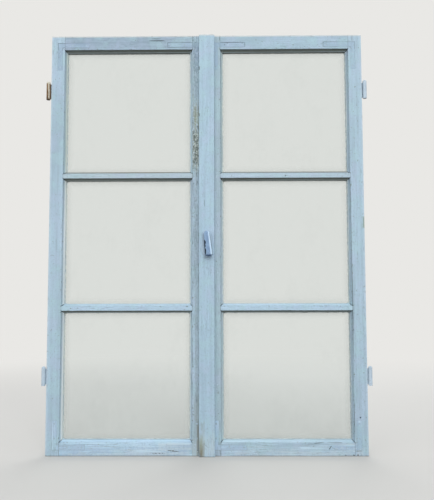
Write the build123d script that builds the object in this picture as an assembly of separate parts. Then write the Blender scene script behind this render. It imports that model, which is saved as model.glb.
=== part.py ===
from build123d import *
import math
import os

# A pair of glazed timber leaves with cover strip, lever handle and locking rods.
# Millimetres. X runs to the right, Y away from the room and Z up.
# The origin is at the foot of the pair, midway between the hinge edges, at mid-thickness.

# The pair
pair_width = 1120.0
leaf_height = 1494.0
leaf_thickness = 40.0
parting_x = -15.5
parting_gap = 3.0

# Members, each measured over its moulding
hinge_stile_width = 55.0
left_meeting_width = 41.0
right_meeting_width = 72.0
top_rail_height = 58.0
bottom_rail_height = 54.0
bar_height = 32.0
pane_names = ["lower", "middle", "upper"]

# Coved moulding on the room side
moulding_width = 8.0
cove_depth = 14.0
cove_steps = 5

# Rebates on the far side, for the glass, for the frame and where the leaves meet
rebate_y = 2.0
frame_rebate_width = 10.0
lip_width = 18.0
lip_clearance = 2.0

# Mortise and tenon joints
tenon_thickness = 12.0
tenon_front_y = -8.0
tenon_length = 24.0
haunch_height = 12.0
bar_tenon_length = 10.0
bar_tenon_thickness = 8.0
joint_clearance = 0.1

# Glazing
glass_thickness = 3.0
glass_edge_gap = 1.0
putty_back_gap = 0.5
putty_lip = 1.0
sprig_width = 1.2
sprig_length = 13.0
sprig_grip = 6.0
sprig_inset = 90.0

# Corner brackets, let in flush with the face
bracket_long_arm = 115.0
bracket_short_arm = 100.0
bracket_arm_width = 17.0
bracket_thickness = 2.0
bracket_margin = 8.0
bracket_play = 0.3
bracket_screw_end = 11.0
bracket_screw_pitch = 50.0

# Screws and nails
screw_head_radius = 3.2
screw_radius = 1.6
screw_length = 15.0
nail_radius = 1.5
hinge_nail_length = 20.0
strip_nail_length = 22.0

# Hinge halves with a socket for the pin
lower_hinge_rise = 241.0
upper_hinge_drop = 234.5
barrel_radius = 7.0
barrel_length = 67.0
barrel_dome = 5.0
barrel_edge_gap = 3.0
barrel_set_out = 1.0
socket_radius = 4.0
socket_end = 22.0
socket_tip = 2.0
wing_thickness = 2.2
wing_inset = 0.6
wing_reach = 38.0
wing_rise = 4.0
wing_clearance = 0.1
hinge_nail_setback = 18.0
hinge_nail_pitch = 30.0

# Hole that a lost fitting left in the right hinge stile
old_hole_inset = 27.0
old_hole_z = 131.0
old_hole_radius = 2.6
old_hole_depth = 12.0

# Cover strip
strip_width = 56.0
strip_thickness = 12.0
strip_overlap = 9.0
strip_relief = 0.3
strip_arris = 2.0
strip_hole_clearance = 1.4
strip_nail_count = 7
strip_nail_end = 60.0
strip_nail_side = 16.5

# Handle
handle_rise = 21.0
handle_lean = 6.0
plate_width = 35.0
plate_length = 97.0
plate_thickness = 3.0
plate_arris = 1.2
collar_radius = 10.5
collar_height = 2.0
plate_screw_radius = 1.5
plate_screw_head_radius = 3.0
plate_screw_length = 13.0
plate_screw_drop = 28.0
plate_screw_end = 11.0
neck_wall = 2.6
neck_running_gap = 0.06
boss_radius = 8.5
boss_clearance = 0.3
finger_gap = 15.0
lever_thickness = 12.0
lever_head_radius = 11.0
lever_middle_width = 25.0
lever_middle_drop = 34.0
lever_end_width = 27.0
lever_length = 78.0
lever_end_bulge = 5.0
lever_front_fillet = 5.0
lever_back_fillet = 2.0
lever_skin = 4.0
spindle_width = 6.0
spindle_gap = 0.05
cross_pin_radius = 1.25

# Rod groove and gear case behind the strip
guide_wall = 2.0
guide_bridge = 3.0
case_height = 64.0
case_wall = 1.5
case_play = 0.2
pocket_clearance = 0.2
case_screw_inset = 5.0
case_screw_radius = 1.5
case_screw_head_radius = 2.8
case_screw_length = 17.0

# Pinion and racks
gear_module = 1.25
pinion_teeth = 12
pressure_angle = 25.0
gear_backlash = 0.2
pinion_width = 6.0
hub_wall = 1.3
hub_running_gap = 0.06
flank_points = 4
rack_back = 2.9
rack_teeth_reach = 18.0
rack_end_margin = 2.5

# Locking rods
rod_width = 10.0
rod_thickness = 5.0
rod_recess = 1.0
rod_tip_chamfer = 2.0
rod_throw = 12.0
rod_foot_height = 12.0
rod_foot_gap = 3.0
guide_height = 9.0
guide_clearance = 0.2
guide_insets = [95.0, 420.0]

# Sizes that follow from the driving ones
front_y = -leaf_thickness / 2
back_y = leaf_thickness / 2
hinge_heights = {"lower": lower_hinge_rise, "upper": leaf_height - upper_hinge_drop}
handle_z = leaf_height / 2 + handle_rise
groove_width = rod_width + 2 * guide_wall
groove_depth = rod_thickness + 2 * guide_bridge
bracket_setback = left_meeting_width - moulding_width - bracket_arm_width - bracket_margin
socket_depth = barrel_length - socket_end
wing_height = barrel_length - barrel_dome - 2 * wing_rise
spindle_radius = spindle_width / math.sqrt(2)
hub_radius = spindle_radius + hub_wall
neck_radius = spindle_radius + neck_wall
strip_hole_radius = spindle_radius + strip_hole_clearance
plate_screw_drops = [plate_screw_drop, plate_length - plate_width / 2 - plate_screw_end]
glass_back_y = rebate_y + glass_thickness
groove_y = front_y + groove_depth
strip_front_y = front_y - strip_thickness
strip_left_x = parting_x - parting_gap / 2 - strip_overlap
strip_x = strip_left_x + strip_width / 2
plate_front_y = strip_front_y - plate_thickness
collar_front_y = plate_front_y - collar_height
lever_back_y = plate_front_y - finger_gap
lever_front_y = lever_back_y - lever_thickness
rod_y = front_y + groove_depth / 2
barrel_y = front_y - barrel_set_out
wing_back_y = barrel_y + barrel_radius - wing_inset
pitch_radius = gear_module * pinion_teeth / 2
rack_root_offset = pitch_radius + 1.25 * gear_module
rack_outer_offset = rack_root_offset + rack_back
case_width = 2 * (rack_outer_offset + case_play + case_wall)
pane_height = (leaf_height - top_rail_height - bottom_rail_height
               - (len(pane_names) - 1) * bar_height) / len(pane_names)
beyond = 1.0


class Leaf:
    """Lines of one leaf: side is -1 for the left leaf and 1 for the right one."""

    def __init__(self, name, side, meeting_width):
        self.name = name
        self.side = side
        self.hinge_edge = side * pair_width / 2
        self.hinge_sight = self.hinge_edge - side * hinge_stile_width
        self.meeting_edge = parting_x + side * parting_gap / 2
        self.meeting_sight = self.meeting_edge + side * meeting_width
        self.sight_x = sorted([self.hinge_sight, self.meeting_sight])
        self.core_x = [self.sight_x[0] - moulding_width, self.sight_x[1] + moulding_width]

    def pane_spans(self):
        """Sight heights of the panes, from the bottom up."""
        spans = []
        low = bottom_rail_height
        for _ in pane_names:
            spans.append((low, low + pane_height))
            low += pane_height + bar_height
        return spans


left_leaf = Leaf("left", -1, left_meeting_width)
right_leaf = Leaf("right", 1, right_meeting_width)


# Basic shapes

def block(x_span, y_span, z_span):
    """Box between the given limits, in either order."""
    spans = [x_span, y_span, z_span]
    middle = [(span[0] + span[1]) / 2 for span in spans]
    size = [abs(span[1] - span[0]) for span in spans]
    return Pos(*middle) * Box(*size)


def slab(points, y_from, y_to):
    """Outline of (x, z) points seen from the front, between two depths."""
    face = Plane.XZ.offset(-y_to) * Polygon(*points, align=None)
    return extrude(face, amount=y_to - y_from, dir=(0, -1, 0))


def round_bar(x, z, radius, y_from, y_to):
    """Cylinder along Y."""
    return Pos(x, (y_from + y_to) / 2, z) * Rot(90, 0, 0) * Cylinder(radius, y_to - y_from)


def window_at(leaf, span, grow, y):
    """Rectangle over a pane's sight lines, grown on each side, at one depth."""
    width = leaf.sight_x[1] - leaf.sight_x[0] + 2 * grow
    height = span[1] - span[0] + 2 * grow
    centre = Pos(sum(leaf.sight_x) / 2, sum(span) / 2)
    return Plane.XZ.offset(-y) * (centre * Rectangle(width, height))


def nail(x, z, y_head, length):
    """Headless round nail driven along Y, flush at y_head."""
    return round_bar(x, z, nail_radius, y_head, y_head + length)


def screw(x, z, y_head, length, radius, head_radius, head_height):
    """Countersunk screw driven along Y, its head flush at y_head."""
    profile = Polyline((0, 0), (head_radius, 0), (radius, head_height), (radius, length), (0, length),
                       close=True)
    return Pos(x, y_head, z) * Rot(-90, 0, 0) * revolve(Plane.XZ * make_face(profile), Axis.Z)


# Timber

def opening_cutter(leaf, span):
    """What one pane takes out of the timber: cove, straight sight and glass rebate."""
    cutter = extrude(window_at(leaf, span, moulding_width, back_y + beyond),
                     amount=back_y + beyond - rebate_y, dir=(0, -1, 0))
    sight_y = front_y + cove_depth
    cutter += extrude(window_at(leaf, span, 0, rebate_y), amount=rebate_y - sight_y, dir=(0, -1, 0))
    for step in range(cove_steps):
        turns = [math.radians(90 * (step + end) / cove_steps) for end in (0, 1)]
        rings = [window_at(leaf, span, moulding_width * math.cos(turn), front_y + cove_depth * math.sin(turn))
                 for turn in turns]
        cutter += loft(rings, ruled=True)
    return cutter


def stile_outline(leaf, edge_x, sight_x):
    """Stile from the front, its moulding mitred at every rail and bar."""
    towards_edge = math.copysign(moulding_width, edge_x - sight_x)
    core_x = sight_x + towards_edge
    points = [(edge_x, 0), (core_x, 0)]
    for low, high in leaf.pane_spans():
        points += [(core_x, low - moulding_width), (sight_x, low),
                   (sight_x, high), (core_x, high + moulding_width)]
    return points + [(core_x, leaf_height), (edge_x, leaf_height)]


def rail_outline(leaf, edge_z, sight_z):
    """Rail from the front, between the stiles, with mitred moulding."""
    core_z = sight_z + math.copysign(moulding_width, edge_z - sight_z)
    return [(leaf.core_x[0], edge_z), (leaf.core_x[1], edge_z), (leaf.core_x[1], core_z),
            (leaf.sight_x[1], sight_z), (leaf.sight_x[0], sight_z), (leaf.core_x[0], core_z)]


def bar_outline(leaf, low, high):
    """Glazing bar from the front, with mitred moulding on both sides."""
    core = [low + moulding_width, high - moulding_width]
    return [(leaf.core_x[0], core[0]), (leaf.sight_x[0], low), (leaf.sight_x[1], low),
            (leaf.core_x[1], core[0]), (leaf.core_x[1], core[1]), (leaf.sight_x[1], high),
            (leaf.sight_x[0], high), (leaf.core_x[0], core[1])]


def rail_tenons(leaf, edge_z, sight_z, grow):
    """Both tenons of a rail, grown by the clearance when they cut the mortises."""
    outward = math.copysign(1, edge_z - sight_z)
    tall = (sight_z + outward * (moulding_width - grow), edge_z - outward * (haunch_height - grow))
    thick = (tenon_front_y - grow, tenon_front_y + tenon_thickness + grow)
    left, right = leaf.core_x
    return (block((left - tenon_length - grow, left), thick, tall)
            + block((right, right + tenon_length + grow), thick, tall))


def bar_tenons(leaf, low, high, grow):
    """Both stub tenons of a glazing bar."""
    tall = (low + moulding_width - grow, high - moulding_width + grow)
    thick = (tenon_front_y - grow, tenon_front_y + bar_tenon_thickness + grow)
    left, right = leaf.core_x
    return (block((left - bar_tenon_length - grow, left), thick, tall)
            + block((right, right + bar_tenon_length + grow), thick, tall))


def bar_spans(leaf):
    """Lowest and highest height of each glazing bar."""
    spans = leaf.pane_spans()
    return [(below[1], above[0]) for below, above in zip(spans, spans[1:])]


def frame_rebate(leaf):
    """Rebate on the far side, round the hinge edge, top and bottom of a leaf."""
    deep = (rebate_y, back_y + beyond)
    wide = (leaf.hinge_edge - leaf.side * frame_rebate_width, leaf.hinge_edge + leaf.side * beyond)
    across = (leaf.hinge_edge, parting_x - leaf.side * (lip_width + parting_gap))
    return (block(wide, deep, (-beyond, leaf_height + beyond))
            + block(across, deep, (-beyond, frame_rebate_width))
            + block(across, deep, (leaf_height - frame_rebate_width, leaf_height + beyond)))


def mortises(leaf):
    """All the pockets that the rails and bars need in the stiles."""
    pockets = rail_tenons(leaf, leaf_height, leaf_height - top_rail_height, joint_clearance)
    pockets += rail_tenons(leaf, 0, bottom_rail_height, joint_clearance)
    for low, high in bar_spans(leaf):
        pockets += bar_tenons(leaf, low, high, joint_clearance)
    return pockets


def hinge_stile(leaf, cutters):
    """Stile that carries the hinges."""
    stile = slab(stile_outline(leaf, leaf.hinge_edge, leaf.hinge_sight), front_y, back_y)
    stile = stile - cutters - mortises(leaf)
    for height in hinge_heights.values():
        stile -= hinge_wing(leaf, height, wing_clearance)
    if leaf is right_leaf:
        old_hole_x = leaf.hinge_edge - old_hole_inset
        stile -= round_bar(old_hole_x, old_hole_z, old_hole_radius, front_y, front_y + old_hole_depth)
    return stile


def meeting_stile(leaf, cutters):
    """Stile at the parting: a rear lip on the left leaf, the rebate for it on the right one."""
    stile = slab(stile_outline(leaf, leaf.meeting_edge, leaf.meeting_sight), front_y, back_y)
    if leaf is left_leaf:
        lip = (leaf.meeting_edge, leaf.meeting_edge + lip_width)
        stile += block(lip, (rebate_y + lip_clearance, back_y), (0, leaf_height))
    else:
        hollow = (leaf.meeting_edge, left_leaf.meeting_edge + lip_width + parting_gap)
        stile -= block(hollow, (rebate_y, back_y), (0, leaf_height))
        stile -= lock_hollows()
        stile -= strip_nails()
        for x, z in case_screw_places():
            stile -= case_screw(x, z)
    return stile - cutters - mortises(leaf)


def rail(leaf, edge_z, sight_z, cutters):
    """Top or bottom rail with its tenons."""
    body = slab(rail_outline(leaf, edge_z, sight_z), front_y, back_y)
    return body + rail_tenons(leaf, edge_z, sight_z, 0) - cutters


def glazing_bar(leaf, low, high, cutters):
    """Glazing bar with its stub tenons."""
    return slab(bar_outline(leaf, low, high), front_y, back_y) + bar_tenons(leaf, low, high, 0) - cutters


# Glass, putty and sprigs

def pane(leaf, span):
    """Sheet of glass against the rebate."""
    return extrude(window_at(leaf, span, moulding_width - glass_edge_gap, glass_back_y),
                   amount=glass_thickness, dir=(0, -1, 0))


def sprigs(leaf, span):
    """Headless nails that hold one pane, two on each side."""
    flat = (glass_back_y, glass_back_y + sprig_width)
    pieces = []
    for wall, inward in ((leaf.core_x[0], 1), (leaf.core_x[1], -1)):
        reach = (wall - inward * sprig_grip, wall + inward * (sprig_length - sprig_grip))
        for z in (span[0] + sprig_inset, span[1] - sprig_inset):
            pieces.append(block(reach, flat, (z - sprig_width / 2, z + sprig_width / 2)))
    for wall, inward in ((span[0] - moulding_width, 1), (span[1] + moulding_width, -1)):
        reach = (wall - inward * sprig_grip, wall + inward * (sprig_length - sprig_grip))
        for x in (leaf.sight_x[0] + sprig_inset, leaf.sight_x[1] - sprig_inset):
            pieces.append(block((x - sprig_width / 2, x + sprig_width / 2), flat, reach))
    return pieces


def putty(leaf, span):
    """Fillet of putty between the back of the pane and the timber."""
    end_y = back_y - putty_back_gap
    ring = extrude(window_at(leaf, span, moulding_width, end_y), amount=end_y - glass_back_y, dir=(0, -1, 0))
    slope = [window_at(leaf, span, 0, glass_back_y),
             window_at(leaf, span, moulding_width - putty_lip, end_y)]
    return ring - loft(slope, ruled=True) - sprigs(leaf, span)


# Corner brackets

def bracket_corners(leaf):
    """Name, core corner and outward directions of each bracket."""
    corners = []
    for end, core_z, up in (("top", leaf_height - top_rail_height + moulding_width, 1),
                            ("bottom", bottom_rail_height - moulding_width, -1)):
        for place, edge in (("outer", leaf.hinge_edge), ("inner", leaf.meeting_edge)):
            out = math.copysign(1, edge - sum(leaf.sight_x) / 2)
            core_x = leaf.core_x[1] if out > 0 else leaf.core_x[0]
            corners.append((f"{leaf.name}_{end}_{place}_bracket", core_x, core_z, out, up))
    return corners


def bracket_blank(core_x, core_z, out, up, grow):
    """L-shaped plate, grown by the play when it cuts its bed in the timber."""
    x_out = core_x + out * (bracket_setback + bracket_arm_width + grow)
    z_out = core_z + up * (bracket_setback + bracket_arm_width + grow)
    x_in = core_x + out * (bracket_setback - grow)
    z_in = core_z + up * (bracket_setback - grow)
    x_tip = x_out - out * (bracket_long_arm + 2 * grow)
    z_tip = z_out - up * (bracket_short_arm + 2 * grow)
    points = [(x_out, z_out), (x_tip, z_out), (x_tip, z_in), (x_in, z_in), (x_in, z_tip), (x_out, z_tip)]
    return slab(points, front_y, front_y + bracket_thickness)


def bracket_screws(core_x, core_z, out, up):
    """Two countersunk screws in each arm of a bracket."""
    x_mid = core_x + out * (bracket_setback + bracket_arm_width / 2)
    z_mid = core_z + up * (bracket_setback + bracket_arm_width / 2)
    x_tip = x_mid - out * (bracket_long_arm - bracket_arm_width / 2 - bracket_screw_end)
    z_tip = z_mid - up * (bracket_short_arm - bracket_arm_width / 2 - bracket_screw_end)
    places = [(x_tip, z_mid), (x_tip + out * bracket_screw_pitch, z_mid),
              (x_mid, z_tip), (x_mid, z_tip + up * bracket_screw_pitch)]
    return [screw(x, z, front_y, screw_length, screw_radius, screw_head_radius, bracket_thickness)
            for x, z in places]


# Hinges

def barrel_x(leaf):
    """Axis of the hinge barrels of a leaf."""
    return leaf.hinge_edge + leaf.side * (barrel_edge_gap + barrel_radius)


def hinge_wing(leaf, height, grow):
    """Plate of a hinge in the stile, grown by the clearance when it cuts its slot."""
    return block((barrel_x(leaf), leaf.hinge_edge - leaf.side * (wing_reach + grow)),
                 (wing_back_y - wing_thickness - grow, wing_back_y + grow),
                 (height + wing_rise - grow, height + wing_rise + wing_height + grow))


def hinge_nails(leaf, height):
    """Two nails through the stile and one hinge wing."""
    x = leaf.hinge_edge - leaf.side * hinge_nail_setback
    middle = height + wing_rise + wing_height / 2
    return [nail(x, z, front_y, hinge_nail_length)
            for z in (middle - hinge_nail_pitch / 2, middle + hinge_nail_pitch / 2)]


def hinge_half(leaf, height):
    """Domed barrel with a blind socket that opens downwards, and its wing."""
    dome_z = barrel_length - barrel_dome
    outline = Polyline((0, socket_depth + socket_tip), (socket_radius, socket_depth), (socket_radius, 0),
                       (barrel_radius, 0), (barrel_radius, dome_z))
    ball = (barrel_radius ** 2 + barrel_dome ** 2) / (2 * barrel_dome)
    turn = math.asin(barrel_radius / ball) / 2
    on_dome = (ball * math.sin(turn), barrel_length - ball * (1 - math.cos(turn)))
    outline += ThreePointArc((barrel_radius, dome_z), on_dome, (0, barrel_length))
    outline += Line((0, barrel_length), (0, socket_depth + socket_tip))
    barrel = Pos(barrel_x(leaf), barrel_y, height) * revolve(Plane.XZ * make_face(outline), Axis.Z)
    hinge = barrel + hinge_wing(leaf, height, 0)
    for pin in hinge_nails(leaf, height):
        hinge -= pin
    return hinge


# Cover strip

def strip_nails():
    """Nails of the cover strip, clear of the rod groove."""
    pitch = (leaf_height - 2 * strip_nail_end) / (strip_nail_count - 1)
    return [nail(strip_x + strip_nail_side, strip_nail_end + pitch * index, strip_front_y, strip_nail_length)
            for index in range(strip_nail_count)]


def cover_strip():
    """Strip on the right leaf that covers the parting."""
    right_x = strip_left_x + strip_width
    strip = block((strip_left_x, right_x), (strip_front_y, front_y), (0, leaf_height))
    arrises = strip.edges().filter_by(Axis.Z).group_by(Axis.Y)[0]
    strip = fillet(arrises, strip_arris)
    strip -= block((strip_left_x, right_leaf.meeting_edge), (front_y - strip_relief, front_y), (0, leaf_height))
    strip -= round_bar(strip_x, handle_z, strip_hole_radius, strip_front_y, front_y)
    return strip - strip_nails() - plate_screws()


# Handle

def handle_plate():
    """Oblong plate with round ends and a collar that the lever turns in."""
    top_z = handle_z + plate_width / 2
    outline = Pos(strip_x, top_z - plate_length / 2) * SlotOverall(plate_length, plate_width, rotation=90)
    plate = extrude(Plane.XZ.offset(-strip_front_y) * outline, amount=plate_thickness, dir=(0, -1, 0))
    plate = chamfer(plate.edges().group_by(Axis.Y)[0], plate_arris)
    plate += round_bar(strip_x, handle_z, collar_radius, collar_front_y, plate_front_y)
    plate -= round_bar(strip_x, handle_z, neck_radius + neck_running_gap, collar_front_y, strip_front_y)
    return plate - plate_screws()


def plate_screws():
    """Countersunk screws of the plate, both behind the hanging lever."""
    return [screw(strip_x, handle_z - drop, plate_front_y, plate_screw_length,
                  plate_screw_radius, plate_screw_head_radius, plate_thickness)
            for drop in plate_screw_drops]


def lever_front():
    """Lever seen from the front: round head, sides that widen downwards, and a bowed foot."""
    middle = (lever_middle_width / 2, -lever_middle_drop)
    end = (lever_end_width / 2, lever_end_bulge - lever_length)
    side = TangentArc((lever_head_radius, 0), middle, tangent=(0, -1))
    side += Line(middle, end)
    foot = ThreePointArc(end, (0, -lever_length), (-end[0], end[1]))
    head = ThreePointArc((-lever_head_radius, 0), (0, lever_head_radius), (lever_head_radius, 0))
    face = make_face(side + foot + mirror(side, Plane.YZ) + head)
    return extrude(Plane.XZ.offset(-lever_back_y) * face, amount=lever_thickness, dir=(0, -1, 0))


def spindle_cut(grow, y_from, y_to):
    """Square bar along the handle's axis."""
    half = spindle_width / 2 + grow
    return block((-half, half), (y_from, y_to), (-half, half))


def cross_pin_bar():
    """Pin across the neck of the lever, through the spindle."""
    return (Pos(0, (collar_front_y + lever_back_y) / 2, 0) * Rot(0, 90, 0)
            * Cylinder(cross_pin_radius, 2 * boss_radius))


def handle_pose(shape):
    """Put a piece of the handle on its axis, leaning as the worn lever hangs."""
    return Pos(strip_x, 0, handle_z) * Rot(0, -handle_lean, 0) * shape


def handle_lever():
    """Lever with its neck, bored for the spindle and the cross pin."""
    arm = lever_front()
    arm = fillet(arm.edges().group_by(Axis.Y)[0], lever_front_fillet)
    arm = fillet(arm.edges().group_by(Axis.Y)[-1], lever_back_fillet)
    boss = round_bar(0, 0, boss_radius, lever_back_y - lever_back_fillet, collar_front_y - boss_clearance)
    neck = round_bar(0, 0, neck_radius, collar_front_y - boss_clearance, strip_front_y - boss_clearance)
    lever = arm + boss + neck
    lever -= spindle_cut(spindle_gap, lever_front_y + lever_skin, strip_front_y)
    return handle_pose(lever - cross_pin_bar())


def spindle():
    """Square spindle from the lever to the back of the pinion."""
    bar = spindle_cut(0, lever_front_y + lever_skin + boss_clearance, groove_y - boss_clearance)
    return handle_pose(bar - cross_pin_bar())


def cross_pin():
    """The pin itself."""
    return handle_pose(cross_pin_bar())


# Gear case, pinion and locking rods

def case_screw_places():
    """Screws of the gear case, in the two corners that the racks leave free."""
    side = case_width / 2 - case_screw_inset
    rise = case_height / 2 - case_screw_inset
    return [(strip_x - side, handle_z + rise), (strip_x + side, handle_z - rise)]


def case_screw(x, z):
    """One countersunk screw of the gear case."""
    return screw(x, z, front_y, case_screw_length, case_screw_radius, case_screw_head_radius, case_wall)


def lock_hollows():
    """Rod groove, case pocket and room for the feet of the rods."""
    half = groove_width / 2
    deep = (front_y - beyond, groove_y)
    hollow = block((strip_x - half, strip_x + half), deep, (-beyond, leaf_height + beyond))
    half_case = case_width / 2 + pocket_clearance
    half_high = case_height / 2 + pocket_clearance
    hollow += block((strip_x - half_case, strip_x + half_case), deep,
                    (handle_z - half_high, handle_z + half_high))
    foot = half_high + rod_foot_gap + rod_foot_height + rod_throw + guide_clearance
    side = strip_x + rack_outer_offset + pocket_clearance
    hollow += block((strip_x, side), deep, (handle_z, handle_z + foot))
    hollow += block((strip_x, 2 * strip_x - side), deep, (handle_z, handle_z - foot))
    return hollow


def gear_case():
    """Channel of sheet metal, open at its ends for the rods."""
    half = case_width / 2
    tall = (handle_z - case_height / 2, handle_z + case_height / 2)
    case = block((strip_x - half, strip_x + half), (front_y + case_wall, groove_y), tall)
    case -= block((strip_x - half + case_wall, strip_x + half - case_wall),
                  (front_y + case_wall, groove_y - case_wall), tall)
    for x, z in case_screw_places():
        case += round_bar(x, z, case_screw_head_radius, front_y + case_wall, groove_y)
        case -= round_bar(x, z, case_screw_radius, front_y + case_wall, groove_y)
    return case - round_bar(strip_x, handle_z, hub_radius + hub_running_gap, groove_y - case_wall, groove_y)


def case_cover():
    """Flat cover of the gear case, flush with the face of the stile."""
    half = case_width / 2
    tall = (handle_z - case_height / 2, handle_z + case_height / 2)
    cover = block((strip_x - half, strip_x + half), (front_y, front_y + case_wall), tall)
    cover -= round_bar(strip_x, handle_z, hub_radius + hub_running_gap, front_y, front_y + case_wall)
    for x, z in case_screw_places():
        cover -= case_screw(x, z)
    return cover


def tooth_flank():
    """Radius and half angle of the tooth, from the root to the tip, on an involute."""
    angle = math.radians(pressure_angle)
    base = pitch_radius * math.cos(angle)
    root = pitch_radius - 1.25 * gear_module
    tip = pitch_radius + gear_module
    half_pitch = (math.pi * gear_module / 2 - gear_backlash) / (2 * pitch_radius)
    at_pitch = math.tan(angle) - angle
    points = [(root, half_pitch + at_pitch)]
    for step in range(flank_points):
        radius = base + (tip - base) * step / (flank_points - 1)
        turn = math.acos(min(1.0, base / radius))
        points.append((radius, half_pitch + at_pitch - math.tan(turn) + turn))
    return points


def pinion():
    """Toothed wheel with a hub on each side and a square hole for the spindle."""
    flank = tooth_flank()
    points = []
    for tooth in range(pinion_teeth):
        middle = 2 * math.pi * tooth / pinion_teeth
        for radius, half in flank:
            points.append((radius * math.cos(middle - half), radius * math.sin(middle - half)))
        for radius, half in reversed(flank):
            points.append((radius * math.cos(middle + half), radius * math.sin(middle + half)))
    wheel = slab(points, rod_y - pinion_width / 2, rod_y + pinion_width / 2)
    wheel += round_bar(0, 0, hub_radius, front_y, groove_y)
    wheel = Pos(strip_x, 0, handle_z) * wheel
    return wheel - handle_pose(spindle_cut(spindle_gap, front_y, groove_y))


def rack_profile():
    """Toothed edge of the rack of the upper rod, as offsets across and along the rod."""
    pitch = math.pi * gear_module
    slope = math.tan(math.radians(pressure_angle))
    half_tip = (pitch / 2 - gear_backlash) / 2 - gear_module * slope
    half_root = (pitch / 2 - gear_backlash) / 2 + 1.25 * gear_module * slope
    tip = pitch_radius - gear_module
    count = round(rack_teeth_reach / pitch)
    points = []
    for index in range(-count, 2):
        middle = pitch * (index + 0.5)
        points += [(rack_root_offset, middle - half_root), (tip, middle - half_tip),
                   (tip, middle + half_tip), (rack_root_offset, middle + half_root)]
    return points


def locking_rod(reach):
    """Rod about the handle's axis, its end at the given reach: rack, foot and bar in one outline."""
    teeth = rack_profile()
    half = rod_width / 2
    foot_low = case_height / 2 + rod_foot_gap
    foot_high = foot_low + rod_foot_height
    low = teeth[0][1] - rack_end_margin
    points = [(rack_outer_offset, low), (rack_root_offset, low)] + teeth
    points += [(rack_root_offset, foot_low), (-half, foot_low), (-half, reach - rod_tip_chamfer),
               (rod_tip_chamfer - half, reach), (half - rod_tip_chamfer, reach),
               (half, reach - rod_tip_chamfer), (half, foot_high), (rack_outer_offset, foot_high)]
    return slab(points, rod_y - rod_thickness / 2, rod_y + rod_thickness / 2)


def upper_rod():
    """Rod that is thrown upwards."""
    return Pos(strip_x, 0, handle_z) * locking_rod(leaf_height - rod_recess - handle_z)


def lower_rod():
    """Rod that is thrown downwards, on the other side of the pinion."""
    return Pos(strip_x, 0, handle_z) * Rot(0, 180, 0) * locking_rod(handle_z - rod_recess)


def rod_guides(heights):
    """Bridges in the groove that keep a rod on its line."""
    guides = []
    half = groove_width / 2
    half_slot = rod_width / 2 + guide_clearance
    slot_y = rod_thickness / 2 + guide_clearance
    for height in heights:
        tall = (height - guide_height / 2, height + guide_height / 2)
        guide = block((strip_x - half, strip_x + half), (front_y, groove_y), tall)
        guides.append(guide - block((strip_x - half_slot, strip_x + half_slot),
                                    (rod_y - slot_y, rod_y + slot_y), tall))
    return guides


# The whole part

def leaf_parts(leaf):
    """Nodes of one leaf."""
    name = leaf.name
    spans = leaf.pane_spans()
    cutters = frame_rebate(leaf)
    all_sprigs = []
    for span in spans:
        cutters += opening_cutter(leaf, span)
        all_sprigs += sprigs(leaf, span)
    for piece in all_sprigs:
        cutters += piece
    parts = {}
    screws = []
    for bracket, core_x, core_z, out, up in bracket_corners(leaf):
        own_screws = bracket_screws(core_x, core_z, out, up)
        parts[bracket] = bracket_blank(core_x, core_z, out, up, 0) - own_screws
        cutters += bracket_blank(core_x, core_z, out, up, bracket_play)
        screws += own_screws
    nails = []
    for place, height in hinge_heights.items():
        parts[f"{name}_{place}_hinge"] = hinge_half(leaf, height)
        nails += hinge_nails(leaf, height)
    for piece in screws + nails:
        cutters += piece
    parts[f"{name}_hinge_stile"] = hinge_stile(leaf, cutters)
    parts[f"{name}_meeting_stile"] = meeting_stile(leaf, cutters)
    parts[f"{name}_top_rail"] = rail(leaf, leaf_height, leaf_height - top_rail_height, cutters)
    parts[f"{name}_bottom_rail"] = rail(leaf, 0, bottom_rail_height, cutters)
    for place, (low, high) in zip(["lower", "upper"], bar_spans(leaf)):
        parts[f"{name}_{place}_bar"] = glazing_bar(leaf, low, high, cutters)
    for place, span in zip(pane_names, spans):
        parts[f"{name}_{place}_pane"] = pane(leaf, span)
        parts[f"{name}_{place}_putty"] = putty(leaf, span)
    parts[f"{name}_glazing_sprigs"] = Compound(children=all_sprigs)
    parts[f"{name}_bracket_screws"] = Compound(children=screws)
    parts[f"{name}_hinge_nails"] = Compound(children=nails)
    return parts


def lock_parts():
    """Nodes of the strip, the handle and the locking rods."""
    upper = [leaf_height - inset for inset in guide_insets]
    return {
        "cover_strip": cover_strip(),
        "strip_nails": Compound(children=strip_nails()),
        "handle_plate": handle_plate(),
        "plate_screws": Compound(children=plate_screws()),
        "handle_lever": handle_lever(),
        "handle_spindle": spindle(),
        "lever_cross_pin": cross_pin(),
        "gear_case": gear_case(),
        "case_cover": case_cover(),
        "case_screws": Compound(children=[case_screw(x, z) for x, z in case_screw_places()]),
        "drive_pinion": pinion(),
        "upper_rod": upper_rod(),
        "lower_rod": lower_rod(),
        "upper_rod_guides": Compound(children=rod_guides(upper)),
        "lower_rod_guides": Compound(children=rod_guides(guide_insets)),
    }


def main():
    """Build every node and write it to its own file."""
    os.makedirs("parts", exist_ok=True)
    parts = {}
    for leaf in (left_leaf, right_leaf):
        parts.update(leaf_parts(leaf))
    parts.update(lock_parts())
    for name, shape in parts.items():
        export_step(shape, f"parts/{name}.step")
    print(len(parts), "nodes")


main()
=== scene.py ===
import logging
import math
from dataclasses import dataclass
from enum import Enum
from typing import Union

import bmesh
import bpy
from mathutils import Matrix, Vector


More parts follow.
